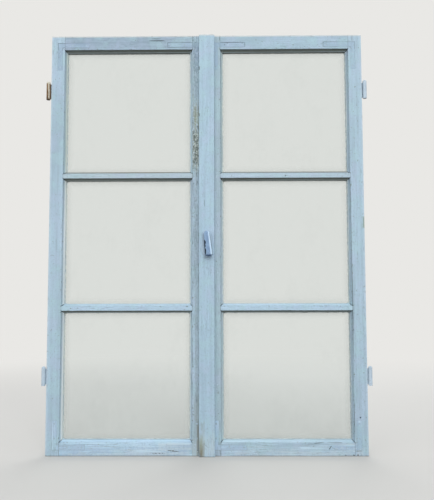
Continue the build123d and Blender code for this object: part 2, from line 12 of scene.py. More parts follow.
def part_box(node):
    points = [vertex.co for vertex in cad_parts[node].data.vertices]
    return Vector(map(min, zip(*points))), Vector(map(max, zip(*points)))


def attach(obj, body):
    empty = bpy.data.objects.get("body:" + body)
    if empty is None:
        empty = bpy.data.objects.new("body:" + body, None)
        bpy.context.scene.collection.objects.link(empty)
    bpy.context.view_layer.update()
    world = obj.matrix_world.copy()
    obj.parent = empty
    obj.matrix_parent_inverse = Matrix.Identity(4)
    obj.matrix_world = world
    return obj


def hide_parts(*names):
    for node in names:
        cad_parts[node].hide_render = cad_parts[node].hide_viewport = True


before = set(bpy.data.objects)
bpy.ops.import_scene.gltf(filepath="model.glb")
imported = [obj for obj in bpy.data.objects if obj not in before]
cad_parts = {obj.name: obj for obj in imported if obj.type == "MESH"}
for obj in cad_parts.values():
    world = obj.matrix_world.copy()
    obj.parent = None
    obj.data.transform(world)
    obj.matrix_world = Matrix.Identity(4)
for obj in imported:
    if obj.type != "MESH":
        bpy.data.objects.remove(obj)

# Looks of a pair of old painted french doors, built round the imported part.
# Metres, in the part's own frame: X to the right, Y away from the room, Z up.
# Screen colours are given to tint() as red, green and blue from 0 to 255.

log = logging.getLogger("french_doors")
Colour = tuple[float, float, float, float]
MM = 0.001
SAME_PLACE = 0.01 * MM


def tint(red: int, green: int, blue: int) -> Colour:
    """Turns a screen colour into the linear colour that a shader takes.

    Args:
        red: Red, from 0 to 255.
        green: Green, from 0 to 255.
        blue: Blue, from 0 to 255.

    Returns:
        The linear colour, opaque.
    """
    parts = [value / 255 for value in (red, green, blue)]
    linear = [((part + 0.055) / 1.055) ** 2.4 if part > 0.04045 else part / 12.92 for part in parts]
    return (*linear, 1.0)


class Term:
    """A socket that takes part in arithmetic. Each operation adds its Math node."""

    def __init__(self, tree: "Tree", socket: bpy.types.NodeSocket) -> None:
        """Keeps the tree and the output socket."""
        self.tree = tree
        self.socket = socket

    def _math(self, operation: str, *values: "Value") -> "Term":
        """Adds one Math node on the values."""
        return self.tree.add("ShaderNodeMath", {"operation": operation}, dict(enumerate(values)))

    def __add__(self, other: "Value") -> "Term":
        """Sum."""
        return self._math("ADD", self, other)

    def __radd__(self, other: "Value") -> "Term":
        """Sum with the number first."""
        return self._math("ADD", other, self)

    def __sub__(self, other: "Value") -> "Term":
        """Difference."""
        return self._math("SUBTRACT", self, other)

    def __rsub__(self, other: "Value") -> "Term":
        """Difference with the number first."""
        return self._math("SUBTRACT", other, self)

    def __mul__(self, other: "Value") -> "Term":
        """Product."""
        return self._math("MULTIPLY", self, other)

    def __rmul__(self, other: "Value") -> "Term":
        """Product with the number first."""
        return self._math("MULTIPLY", other, self)

    def __truediv__(self, other: "Value") -> "Term":
        """Quotient."""
        return self._math("DIVIDE", self, other)

    def __pow__(self, other: "Value") -> "Term":
        """Power."""
        return self._math("POWER", self, other)

    def __abs__(self) -> "Term":
        """Size without sign."""
        return self._math("ABSOLUTE", self)

    def least(self, other: "Value") -> "Term":
        """The smaller of two values."""
        return self._math("MINIMUM", self, other)

    def most(self, other: "Value") -> "Term":
        """The larger of two values."""
        return self._math("MAXIMUM", self, other)

    def between(self, low: float, high: float) -> "Term":
        """The value held between two limits."""
        return self.most(low).least(high)

    def wrapped(self, low: float, high: float) -> "Term":
        """The value brought into one period."""
        return self._math("WRAP", self, high, low)

    def rise(self, low: float, high: float) -> "Term":
        """Goes smoothly from 0 at low to 1 at high, and falls where low is the larger.

        Args:
            low: The value that gives 0.
            high: The value that gives 1.

        Returns:
            The smooth step.
        """
        settings = {"interpolation_type": "SMOOTHSTEP"}
        return self.tree.add("ShaderNodeMapRange", settings, {0: self, 1: low, 2: high})

    def near(self, centre: float, half: float, soft: float) -> "Term":
        """1 within half of the centre, and 0 a soft width further out."""
        return abs(self - centre).rise(half + soft, half)

    def coated(self, cover: "Value", shade: "Colour | Term") -> "Term":
        """This colour with a shade over it, which hides it where the cover is 1."""
        return self.tree.blend(cover, self, shade)


Value = Union[float, Term]


class Tree:
    """Adds nodes to one shader tree or geometry tree."""

    def __init__(self, tree: bpy.types.NodeTree) -> None:
        """Keeps the tree."""
        self.tree = tree

    def add(self, kind: str, settings: dict | None = None, sockets: dict | None = None,
            output: int | str = 0) -> Term:
        """Adds a node.

        Args:
            kind: The node's type.
            settings: Its own settings, set before the sockets.
            sockets: Values or terms by the input's name or number.
            output: The output to hand back.

        Returns:
            The chosen output as a term.
        """
        node = self.tree.nodes.new(kind)
        for key, value in (settings or {}).items():
            setattr(node, key, value)
        for key, value in (sockets or {}).items():
            if isinstance(value, Term):
                self.tree.links.new(value.socket, node.inputs[key])
            else:
                node.inputs[key].default_value = value
        return Term(self, node.outputs[output] if node.outputs else None)

    def vector(self, x: Value, y: Value, z: Value) -> Term:
        """Three values joined to a vector."""
        return self.add("ShaderNodeCombineXYZ", {}, {0: x, 1: y, 2: z})

    def split(self, vector: Term) -> list[Term]:
        """The three parts of a vector."""
        node = self.add("ShaderNodeSeparateXYZ", {}, {0: vector}).socket.node
        return [Term(self, socket) for socket in node.outputs]

    def place(self) -> "Place":
        """The point that is shaded, in object coordinates."""
        return Place(*self.split(self.add("ShaderNodeTexCoord", output="Object")))

    def upward(self) -> Term:
        """How far the surface faces up, from -1 to 1."""
        return self.split(self.add("ShaderNodeNewGeometry", output="Normal"))[2]

    def seen_directly(self) -> Term:
        """Tells what is looked at from the light that is passed on.

        Returns:
            1 for what the camera sees, also by mirrors and through glass, and 0 for other light.
        """
        camera, glossy, passed = (self.add("ShaderNodeLightPath", output=name) for name in (
            "Is Camera Ray", "Is Glossy Ray", "Is Transmission Ray"))
        return camera.most(glossy).most(passed)

    def noise(self, vector: Term, detail: float = 2.0, roughness: float = 0.5,
              twist: float = 0.0) -> Term:
        """Soft noise with about one lump for each unit of the vector.

        Args:
            vector: The place, already scaled.
            detail: Finer layers to add.
            roughness: How strong the finer layers are.
            twist: How far the noise is bent by itself.

        Returns:
            Noise from 0 to 1, mostly between 0.3 and 0.7.
        """
        sockets = {"Vector": vector, "Scale": 1.0, "Detail": detail, "Roughness": roughness,
                   "Distortion": twist}
        return self.add("ShaderNodeTexNoise", {}, sockets)

    def cell_walls(self, vector: Term) -> Term:
        """Distance to the nearest wall between random cells, one cell for each unit of the vector."""
        settings = {"feature": "DISTANCE_TO_EDGE"}
        return self.add("ShaderNodeTexVoronoi", settings, {"Vector": vector, "Scale": 1.0})

    def blend(self, factor: Value, first: Colour | Term, second: Colour | Term) -> Term:
        """Goes from the first colour to the second as the factor goes from 0 to 1."""
        return self.add("ShaderNodeMix", {"data_type": "RGBA"}, {0: factor, 6: first, 7: second}, 2)

    def mix(self, factor: Value, first: Term, second: Term) -> Term:
        """Goes from the first shader to the second as the factor goes from 0 to 1."""
        return self.add("ShaderNodeMixShader", {}, {0: factor, 1: first, 2: second})

    def relief(self, height: Term) -> Term:
        """A normal from a height in metres."""
        return self.add("ShaderNodeBump", {}, {"Strength": 1.0, "Distance": 1.0, "Height": height})

    def skin(self, colour: Colour | Term, roughness: Value, height: Term | None = None,
             **more: Value) -> Term:
        """One opaque surface.

        Args:
            colour: Base colour.
            roughness: Roughness.
            height: Height in metres for the relief, if there is one.
            **more: Other sockets, with underscores for blanks.

        Returns:
            The shader.
        """
        sockets = {"Base Color": colour, "Roughness": roughness}
        if height is not None:
            sockets["Normal"] = self.relief(height)
        sockets.update({key.replace("_", " "): value for key, value in more.items()})
        return self.add("ShaderNodeBsdfPrincipled", {}, sockets)


@dataclass(frozen=True)
class Place:
    """A point of the object, in metres."""

    x: Term
    y: Term
    z: Term

    @property
    def tree(self) -> Tree:
        """The tree of the terms."""
        return self.x.tree

    def noise(self, level: float, upright: float, detail: float = 3.0, roughness: float = 0.6,
              twist: float = 0.0) -> Term:
        """Soft noise that stays on the object.

        Args:
            level: Lumps in each metre of width and depth.
            upright: Lumps in each metre of height.
            detail: Finer layers to add.
            roughness: How strong the finer layers are.
            twist: How far the noise is bent by itself.

        Returns:
            Noise from 0 to 1, mostly between 0.3 and 0.7.
        """
        spread = self.tree.vector(self.x * level, self.y * level, self.z * upright)
        return self.tree.noise(spread, detail, roughness, twist)


class Finish:
    """What all finishes share: each makes its material once and hands it out again."""

    name: str

    def surface(self, tree: Tree) -> Term:
        """The shader of the finish, which each kind of finish makes its own way."""
        raise NotImplementedError

    def material(self) -> bpy.types.Material:
        """Makes the material, or finds it if it is made already.

        Returns:
            The material with this finish's name.
        """
        known = bpy.data.materials.get(self.name)
        if known is not None:
            return known
        made = bpy.data.materials.new(self.name)
        made.use_nodes = True
        made.node_tree.nodes.clear()
        tree = Tree(made.node_tree)
        tree.add("ShaderNodeOutputMaterial", {}, {"Surface": self.surface(tree)})
        return made

    def dress(self, *names: str) -> None:
        """Puts the finish on CAD nodes.

        Args:
            *names: The nodes.
        """
        for name in names:
            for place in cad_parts[name].material_slots:
                place.material = self.material()


class Grain(Enum):
    """Which way the fibres of a member run."""

    UPRIGHT = "upright"
    ACROSS = "across"
    BOTH = "both"


@dataclass(frozen=True)
class Brackets:
    """Where the flush corner brackets lie, mirrored about the pair, a leaf and half the height."""

    leaf_middle: float
    half_span: float
    half_way_up: float
    half_height: float
    long_arm: float
    short_arm: float
    arm_width: float = 17 * MM

    @classmethod
    def from_frame(cls) -> "Brackets":
        """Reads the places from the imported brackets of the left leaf.

        Returns:
            The brackets.
        """
        low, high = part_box("left_bottom_outer_bracket")
        inner_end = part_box("left_bottom_inner_bracket")[1].x
        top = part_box("left_top_outer_bracket")[1].z
        return cls(
            leaf_middle=-(low.x + inner_end) / 2,
            half_span=(inner_end - low.x) / 2,
            half_way_up=(low.z + top) / 2,
            half_height=(top - low.z) / 2,
            long_arm=high.x - low.x,
            short_arm=high.z - low.z,
        )

    def outside(self, x: Term, z: Term) -> Term:
        """How far a point lies outside the nearest bracket.

        Args:
            x: Place across the pair.
            z: Height.

        Returns:
            The distance, below 0 on the bracket.
        """
        inward = self.half_span - abs(abs(x) - self.leaf_middle)
        upward = self.half_height - abs(z - self.half_way_up)
        long, short, wide = self.long_arm / 2, self.short_arm / 2, self.arm_width / 2
        level_arm = (abs(inward - long) - long).most(abs(upward - wide) - wide)
        upright_arm = (abs(inward - wide) - wide).most(abs(upward - short) - short)
        return level_arm.least(upright_arm)


@dataclass(frozen=True)
class Layout:
    """Where the members of a leaf lie, mirrored about the middle of the pair.

    Attributes:
        front: The room face of the timber, on the Y axis.
        glass: How far the panes lie behind it.
        edge: From the middle of the pair to the hinge edge.
        outer_sight: From the middle to the glass's edge beside the hinge stile.
        inner_sight: From the middle to the glass's edge beside the meeting stile.
        bottom_sight: Height where the lowest pane starts.
        top_sight: Height where the highest pane ends.
        bar_height: Height of a glazing bar.
        pitch: From one bar to the next.
        top: Height of the leaf.
        brackets: The flush corner brackets.
        moulding: Width of the coved moulding.
        cove_depth: How deep it goes behind the room face.
        wrap_margin: Keeps the ends of the height out of the next period.
    """

    front: float
    glass: float
    edge: float
    outer_sight: float
    inner_sight: float
    bottom_sight: float
    top_sight: float
    bar_height: float
    pitch: float
    top: float
    brackets: Brackets
    moulding: float = 8 * MM
    cove_depth: float = 14 * MM
    wrap_margin: float = 0.01 * MM

    @classmethod
    def from_frame(cls) -> "Layout":
        """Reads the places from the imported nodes.

        Returns:
            The layout.
        """
        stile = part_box("left_hinge_stile")
        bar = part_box("left_lower_bar")
        upper_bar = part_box("left_upper_bar")
        return cls(
            front=stile[0].y,
            glass=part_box("left_lower_pane")[0].y - stile[0].y,
            edge=-stile[0].x,
            outer_sight=-stile[1].x,
            inner_sight=-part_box("left_meeting_stile")[0].x,
            bottom_sight=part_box("left_bottom_rail")[1].z,
            top_sight=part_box("left_top_rail")[0].z,
            bar_height=bar[1].z - bar[0].z,
            pitch=upper_bar[0].z - bar[0].z,
            top=stile[1].z,
            brackets=Brackets.from_frame(),
        )

    def beside_sight(self, x: Term) -> Term:
        """How far a point lies outside the upright edges of the glass."""
        middle = (self.outer_sight + self.inner_sight) / 2
        return abs(abs(x) - middle) - (self.outer_sight - self.inner_sight) / 2

    def beyond_sight(self, z: Term) -> Term:
        """How far a point lies above or below the nearest pane.

        Args:
            z: Height.

        Returns:
            The distance, below 0 on the pane.
        """
        half_bar, half_pitch = self.bar_height / 2, self.pitch / 2
        low, high = self.bottom_sight - half_bar, self.top_sight + half_bar
        inside = z.between(low + self.wrap_margin, high - self.wrap_margin)
        return abs(inside.wrapped(low, low + self.pitch) - low - half_pitch) - (half_pitch - half_bar)


@dataclass(frozen=True)
class Crack:
    """A split or line in the paint, from one point of the face to another.

    Attributes:
        start: Place across the pair and height of one end.
        end: The same for the other end.
        half_width: Half the width at the middle.
        strength: How dark it is, from 0 to 1.
    """

    start: tuple[float, float]
    end: tuple[float, float]
    half_width: float
    strength: float = 1.0

    def mask(self, x: Term, z: Term) -> Term:
        """1 on the line and 0 beside it.

        Args:
            x: Place across the pair, with its wobble.
            z: Height, with its wobble.

        Returns:
            The mask, which thins out towards both ends.
        """
        run, climb = self.end[0] - self.start[0], self.end[1] - self.start[1]
        right, above = x - self.start[0], z - self.start[1]
        along = ((right * run + above * climb) / (run * run + climb * climb)).between(0.0, 1.0)
        aside = ((right - along * run) ** 2.0 + (above - along * climb) ** 2.0) ** 0.5
        width = (along * (1 - along) * 4.0) ** 0.5 * self.half_width
        return (aside - width).rise(0.4 * self.half_width, -0.4 * self.half_width) * self.strength


@dataclass(frozen=True)
class Patch:
    """A part of the face where the paint is gone or stained, with a ragged edge.

    Attributes:
        low: Place across the pair and height of the lower left corner.
        high: The same for the upper right corner.
        shade: What shows there.
        ragged: How far the noise moves the edge.
        end_pull: Weight of the distance past the upper or lower end. A small one frays those ends.
        soft: Half the width over which the edge fades.
        strength: How much the patch hides, from 0 to 1.
        left_on: Shade of the scraps of paint that are left on it, if there are any.
    """

    low: tuple[float, float]
    high: tuple[float, float]
    shade: Colour
    ragged: float = 14 * MM
    end_pull: float = 0.2
    soft: float = 3 * MM
    strength: float = 1.0
    left_on: Colour | None = None

    def mask(self, x: Term, z: Term, rough: Term) -> Term:
        """1 inside and 0 outside.

        Args:
            x: Place across the pair.
            z: Height.
            rough: Noise about 0 that makes the edge ragged.

        Returns:
            The mask.
        """
        (left, foot), (right, head) = self.low, self.high
        aside = abs(x - (left + right) / 2) - (right - left) / 2
        above = abs(z - (foot + head) / 2) - (head - foot) / 2
        outside = aside.most(above * self.end_pull) + rough * self.ragged
        return outside.rise(self.soft, -self.soft) * self.strength


Marks = tuple[tuple[Crack, ...], tuple[Patch, ...]]


@dataclass(frozen=True)
class Spot(Place):
    """A point of painted timber, with the noises and masks that its layers share.

    Attributes:
        depth: How far it lies behind the room face.
        broad: Slow drift of tone.
        streak: Long streaks with the grain.
        fibre: Single fibres.
        spots: Small lumps without direction.
        beside: How far it lies outside the upright edges of the glass.
        beyond: How far it lies above or below the glass.
        outside: The larger of the two.
        room_side: 1 in front of the glass.
        face: 1 on the room face.
        under: 1 where the surface faces down.
        ledge: 1 where it faces up.
    """

    depth: Term
    broad: Term
    streak: Term
    fibre: Term
    spots: Term
    beside: Term
    beyond: Term
    outside: Term
    room_side: Term
    face: Term
    under: Term
    ledge: Term


class Shade:
    """Colours of age, dirt and bare wood on the painted timber, and of its painted shade and highlights."""

    LILAC = tint(186, 198, 224)
    GREENISH = tint(174, 208, 214)
    GRIT = tint(138, 158, 172)
    WASHED_OUT = tint(106, 124, 138)
    PALE_STREAK = tint(208, 232, 247)
    UNDERSIDE_GRIME_AND_SHADE = tint(100, 106, 100)
    DUST = tint(118, 118, 110)
    SEAM_DIRT_AND_SHADE = tint(64, 66, 60)
    PAINT_RIDGE = tint(222, 228, 222)
    FAR_SIDE = tint(164, 172, 166)
    RUBBED_RIM = tint(206, 220, 232)
    LIT_AND_RUBBED_HEAD = tint(216, 218, 214)
    CHIP = tint(112, 120, 112)
    OPEN_LINE = tint(50, 58, 62)
    FOOT_GRIME_AND_SHADOW = tint(96, 92, 82)


@dataclass(frozen=True)
class PaintedTimber(Finish):
    """Old brushed paint over timber, with grain, worn edges, dirt, marks of its own, and painted light and
    shade on its ledges, undersides, moulding, top and foot.

    Amounts go from 0 upwards, and 1 is strong. Each of the grains is in lumps to the metre, across the
    fibres and along them, and each relief or depth is a height.

    Attributes:
        name: The material's name.
        grain: Which way the fibres run.
        layout: Where the members lie.
        clean: The coat where it is cleanest.
        dull: The coat where it is dullest.
        ledge_light: Painted light on the faces that look up, laid over the coat there.
        cracks: This member's own cracks.
        patches: This member's own bare and stained places.
        wear: How many chips there are.
        weather: How washed out the coat is.
        crazing: How dark its fine splits are.
        cove_dirt_and_shade: How strongly dirt and painted shade darken the moulding.
        cove_shade: Colour of the painted shade and dirt in its upper half.
        low_cove_shade: Colour of the painted light, shade and dirt in its lower half.
        dusty_top: How much dust lodges beside the glass.
        pale_streaks: How bright the streaks are that run with the grain.
        outlines: How clearly the brackets show.
    """

    name: str
    grain: Grain
    layout: Layout
    clean: Colour = tint(182, 208, 225)
    dull: Colour = tint(160, 183, 198)
    ledge_light: Colour = tint(174, 198, 213)
    cracks: tuple[Crack, ...] = ()
    patches: tuple[Patch, ...] = ()
    wear: float = 0.5
    weather: float = 0.12
    crazing: float = 0.3
    cove_dirt_and_shade: float = 0.5
    cove_shade: Colour = tint(136, 153, 154)
    low_cove_shade: Colour = tint(150, 167, 170)
    dusty_top: float = 0.0
    pale_streaks: float = 0.0
    outlines: float = 1.0
    streak_grain: tuple[float, float] = (95, 3.2)
    fibre_grain: tuple[float, float] = (420, 14)
    pale_grain: tuple[float, float] = (150, 7)
    split_grain: tuple[float, float] = (190, 9)
    brush_grain: tuple[float, float] = (900, 9)
    streak_relief: float = 0.5 * MM
    fibre_relief: float = 0.16 * MM
    brush_relief: float = 0.07 * MM
    loss_depth: float = 0.22 * MM
    line_depth: float = 0.5 * MM

    def _fibres(self, at: Place, lumps: tuple[float, float], detail: float = 3.0,
                shift: float = 0.0) -> Term:
        """Noise drawn out along the grain.

        Args:
            at: The point.
            lumps: Lumps in each metre, across the grain and along it.
            detail: Finer layers.
            shift: How far down the pattern is moved, so that it doesn't fall with another.

        Returns:
            The noise.
        """
        across, along = lumps
        z = at.z + shift if shift else at.z
        if self.grain is Grain.UPRIGHT:
            spread = at.tree.vector(at.x * across, at.y * across, z * along)
        elif self.grain is Grain.ACROSS:
            spread = at.tree.vector(at.x * along, at.y * across, z * across)
        else:
            moulding = self.layout.moulding
            stile = self.layout.beside_sight(at.x).rise(moulding - 0.1 * MM, moulding)
            more = stile * (across - along)
            spread = at.tree.vector(at.x * (along + more), at.y * across, z * (across - more))
        return at.tree.noise(spread, detail, 0.55)

    def _spot(self, at: Place) -> Spot:
        """Adds what the layers share.

        Args:
            at: The point.

        Returns:
            The point with its noises and masks.
        """
        beside, beyond = self.layout.beside_sight(at.x), self.layout.beyond_sight(at.z)
        depth, upward = at.y - self.layout.front, at.tree.upward()
        room_side = depth.rise(self.layout.glass + 2 * MM, self.layout.glass - 1 * MM)
        return Spot(
            at.x, at.y, at.z, depth,
            broad=at.noise(9, 5),
            streak=self._fibres(at, self.streak_grain),
            fibre=self._fibres(at, self.fibre_grain),
            spots=at.noise(160, 160, 4.0),
            beside=beside,
            beyond=beyond,
            outside=beside.most(beyond),
            room_side=room_side,
            face=depth.rise(2.5 * MM, 0.5 * MM),
            under=upward.rise(-0.05, -0.45) * room_side,
            ledge=upward.rise(0.25, 0.7) * room_side,
        )

    def _coat(self, at: Spot) -> Term:
        """The coat itself: cleaner and duller streaks over a slow drift of tone.

        Args:
            at: The point.

        Returns:
            The colour.
        """
        tone = at.broad * 0.5 + at.streak * 0.8 + at.fibre * 0.25 - 0.28
        cast = at.noise(26, 22, 1.0, 0.5)
        grit = at.noise(240, 200, 1.0, 0.5)
        wash = (at.streak * 0.6 + at.fibre * 0.6).rise(0.62, 0.74)
        colour = at.tree.blend(tone.rise(0.28, 0.72), self.dull, self.clean)
        colour = colour.coated(cast.rise(0.5, 0.68) * 0.25, Shade.LILAC)
        colour = colour.coated(cast.rise(0.5, 0.32) * 0.35, Shade.GREENISH)
        colour = colour.coated(grit.rise(0.5, 0.72) * 0.3, Shade.GRIT)
        colour = colour.coated(wash * self.weather, Shade.WASHED_OUT)
        if self.pale_streaks:
            run = self._fibres(at, self.pale_grain, shift=0.5)
            colour = colour.coated(run.rise(0.53, 0.63) * self.pale_streaks, Shade.PALE_STREAK)
        return colour

    def _dirt_and_painted_light(self, at: Spot, colour: Term) -> Term:
        """Dirt and painted shade in the moulding and under the rails and bars, painted light on the ledges,
        and dust beside the glass.

        Args:
            at: The point.
            colour: The colour so far.

        Returns:
            The colour with dirt, painted shade and painted light.
        """
        moulding, sight, deep = self.layout.moulding, self.layout.outer_sight, self.layout.cove_depth
        # Painted shade with dirt in the coved moulding, stronger on the hinge side; the lower half of some
        # coves is painted lighter.
        within = at.outside.rise(moulding, 0.4 * moulding)
        hinge_side = 0.7 + 0.3 * abs(at.x).rise(0.6 * sight, 0.8 * sight)
        hollow = within * at.depth.rise(3 * MM, deep - 2 * MM) * hinge_side * (1 - at.ledge)
        hollow = (hollow * (0.1 + at.streak) * self.cove_dirt_and_shade).between(0.0, 1.0)
        shade = at.tree.blend(at.z.rise(0.8, 1.1), self.low_cove_shade, self.cove_shade)
        # Painted shade with some dirt: faces that look down, under the rails and bars, are darkened.
        below = at.under * at.depth.rise(0.2 * MM, 2 * MM) * (0.7 + at.streak * 0.5)
        colour = colour.coated(hollow, shade).coated(below.between(0.0, 1.0), Shade.UNDERSIDE_GRIME_AND_SHADE)
        # Painted light: faces that look up take the ledge tone.
        colour = colour.coated(at.ledge * within.most(0.6) * 0.6, self.ledge_light)
        if self.dusty_top:
            lodged = at.outside.rise(5.5 * MM, 3 * MM) * at.depth.rise(1 * MM, 4 * MM) * (1 - at.under)
            colour = colour.coated(lodged * (0.6 + at.streak * 0.8) * self.dusty_top, Shade.DUST)
        return colour

    def _glass_line(self, at: Spot, colour: Term) -> Term:
        """A dark seam of painted shade and dirt at the bottom of the moulding beside the glass, darkest under
        the rails and bars, and broken ridges of paint.

        Args:
            at: The point.
            colour: The colour so far.

        Returns:
            The colour with both.
        """
        deep = self.layout.cove_depth
        # Painted shade with dirt in the corner where the moulding meets the glass.
        seam = at.outside.rise(1.8 * MM, 0.6 * MM) * at.room_side * at.depth.rise(deep - 4 * MM, deep)
        colour = colour.coated(seam * (0.12 + 0.7 * at.under) * (0.5 + at.spots), Shade.SEAM_DIRT_AND_SHADE)
        ridge = at.beside.rise(2.4 * MM, 1.0 * MM) * at.beside.rise(-0.5 * MM, 0.2 * MM)
        ridge = ridge * at.depth.rise(deep - 5 * MM, deep - 2 * MM) * at.room_side
        broken = (at.spots * 0.6 + at.streak * 0.5).rise(0.48, 0.58)
        return colour.coated(ridge * broken * 0.6, Shade.PAINT_RIDGE)

    def _worn_and_lit_edges(self, at: Spot, colour: Term) -> Term:
        """The duller far side, worn edges that are paler than the faces, and a top that is paler by wear and
        by a painted highlight.

        Args:
            at: The point.
            colour: The colour so far.

        Returns:
            The colour with both.
        """
        far = at.depth.rise(self.layout.glass, self.layout.glass + 6 * MM) * (at.broad + 0.1)
        sway = at.streak - 0.5
        rim = (abs(at.x) + sway * (5 * MM)).rise(self.layout.edge - 7 * MM, self.layout.edge - 3 * MM)
        # Painted highlight with wear: the top of the leaf is painted paler.
        head = (at.z + sway * (3 * MM)).rise(self.layout.top - 5 * MM, self.layout.top - 3 * MM)
        colour = colour.coated(far * 0.6, Shade.FAR_SIDE)
        return colour.coated(rim * 0.3, Shade.RUBBED_RIM).coated(head * 0.6, Shade.LIT_AND_RUBBED_HEAD)

    def _losses(self, at: Spot, colour: Term) -> tuple[Term, Term]:
        """Chips, most of them near edges, and the bare or stained places of this member.

        Args:
            at: The point.
            colour: The colour so far.

        Returns:
            The colour, and a mask of the lost paint.
        """
        moulding = self.layout.moulding
        margin = at.outside.rise(moulding + 5 * MM, moulding)
        chips = (at.spots + margin * 0.05 + at.fibre * 0.2 + self.wear * 0.06).rise(0.80, 0.83)
        bare = chips * at.depth.rise(self.layout.cove_depth, 6 * MM)
        colour = colour.coated(bare, Shade.CHIP)
        rough = (at.fibre - 0.5) * 2.0 + (at.spots - 0.5) * 1.5 + (at.streak - 0.5) * 2.0
        hold = (1.35 - at.fibre * 0.8).between(0.0, 1.0)
        for patch in self.patches:
            cover = patch.mask(at.x, at.z, rough) * at.face
            shade: Colour | Term = patch.shade
            if patch.left_on is not None:
                scraps = at.noise(260, 95, 3.0, 0.7, 1.2)
                shade = at.tree.blend(scraps.rise(0.46, 0.56), patch.shade, patch.left_on)
            colour = colour.coated(cover * hold, shade)
            bare = bare.most(cover)
        return colour, bare

    def _joints(self, at: Spot) -> Term:
        """Open mitres, the shoulders of the joints and the line where the moulding starts.

        Args:
            at: The point.

        Returns:
            The mask of the lines.
        """
        moulding = self.layout.moulding
        mitre = abs(at.beside - at.beyond).rise(1.9 * MM, 1.0 * MM)
        mitre = mitre * at.beside.rise(0.0, 0.5 * MM) * at.beyond.rise(0.0, 0.5 * MM)
        mitre = mitre * at.outside.rise(moulding + 4 * MM, moulding) * at.room_side
        shoulder = abs(at.beside - moulding).rise(0.9 * MM, 0.4 * MM)
        shoulder = shoulder * at.beyond.rise(moulding - 1 * MM, moulding) * at.face
        bead = abs(at.outside - moulding).rise(0.9 * MM, 0.3 * MM) * at.face
        lines = (mitre * 0.9).most(shoulder * at.streak.rise(0.35, 0.6) * 0.7)
        return lines.most(bead * (at.broad + at.streak).rise(0.98, 1.20) * 0.42)

    def _bracket_edge(self, at: Spot) -> Term:
        """The outline of the nearest corner bracket, where its edge shows through the paint.

        Args:
            at: The point.

        Returns:
            The mask of the outline.
        """
        outside = self.layout.brackets.outside(at.x, at.z)
        ring = abs(outside + (at.spots - 0.5) * (1 * MM)).rise(1.2 * MM, 0.4 * MM) * at.face
        rail = at.beyond.rise(self.layout.moulding - 2 * MM, self.layout.moulding)
        shown = (at.broad * 0.5 + at.streak * 0.5).rise(0.42, 0.60)
        return ring * (0.2 + 0.8 * rail) * shown * 0.7

    def _lines(self, at: Spot) -> Term:
        """All dark lines: joints, fine splits in the coat, bracket outlines and this member's cracks.

        Args:
            at: The point.

        Returns:
            The mask of the lines.
        """
        run = self._fibres(at, self.split_grain, 2.0, shift=0.9)
        hairs = abs(run - 0.5).rise(0.020, 0.006) * at.broad.rise(0.48, 0.60) * at.face * self.crazing
        lines = self._joints(at).most(hairs)
        if self.outlines:
            lines = lines.most(self._bracket_edge(at) * self.outlines)
        sway = (at.streak - 0.5) * (4 * MM) + (at.spots - 0.5) * (2 * MM)
        for crack in self.cracks:
            lines = lines.most(crack.mask(at.x + sway, at.z + sway) * at.face)
        return lines

    def surface(self, tree: Tree) -> Term:
        """The paint with its grain, wear, dirt, marks, and painted light and shade.

        Args:
            tree: The tree to add to.

        Returns:
            The shader.
        """
        at = self._spot(tree.place())
        colour = self._glass_line(at, self._dirt_and_painted_light(at, self._coat(at)))
        colour, bare = self._losses(at, self._worn_and_lit_edges(at, colour))
        lines = self._lines(at)
        # Painted contact shadow with dirt along the lowest few millimetres of the leaf.
        foot = (at.z + (at.streak - 0.5) * (3 * MM)).rise(3 * MM, 0.5 * MM)
        colour = colour.coated(lines, Shade.OPEN_LINE).coated(foot * 0.8, Shade.FOOT_GRIME_AND_SHADOW)

        brush = self._fibres(at, self.brush_grain, 1.0)
        height = at.streak * self.streak_relief + at.fibre * self.fibre_relief + brush * self.brush_relief
        height = height - bare * self.loss_depth - lines * self.line_depth
        roughness = (0.46 + bare * 0.3 + (at.fibre - 0.5) * 0.4).between(0.25, 0.95)
        return tree.skin(colour, roughness, height)


@dataclass(frozen=True)
class PaintedIron(Finish):
    """Paint over iron: no grain, brush marks, a little rust, and painted shade in the gap beside a leaf."""

    name: str
    leaf_edge: float = 0.0
    gap_shade_amount: float = 0.0
    clean: Colour = tint(178, 200, 217)
    dull: Colour = tint(150, 170, 182)
    rust: float = 0.1
    rust_shade: Colour = tint(98, 76, 60)
    gap_shade: Colour = tint(84, 96, 108)

    def surface(self, tree: Tree) -> Term:
        """Paint with fine lumps, and rust in spots.

        Args:
            tree: The tree to add to.

        Returns:
            The shader.
        """
        at = tree.place()
        broad, brush, spots = at.noise(40, 22), at.noise(700, 60, 2.0), at.noise(260, 260, 4.0, 0.65)
        colour = tree.blend((broad + brush * 0.4).rise(0.45, 0.95), self.dull, self.clean)
        rusty = (spots + broad * 0.25 + self.rust * 0.3).rise(0.80, 0.86)
        colour = colour.coated(rusty, self.rust_shade)
        # Painted shade in the gap between the hinge barrel and the leaf.
        if self.gap_shade_amount:
            wavy = abs(at.x) + (broad - 0.5) * (2 * MM)
            gap = wavy.near(self.leaf_edge + 1.6 * MM, 1.2 * MM, 1.0 * MM)
            colour = colour.coated(gap * self.gap_shade_amount, self.gap_shade)
        height = brush * (0.05 * MM) + broad * (0.25 * MM) - rusty * (0.12 * MM)
        return tree.skin(colour, 0.4 + rusty * 0.4, height)


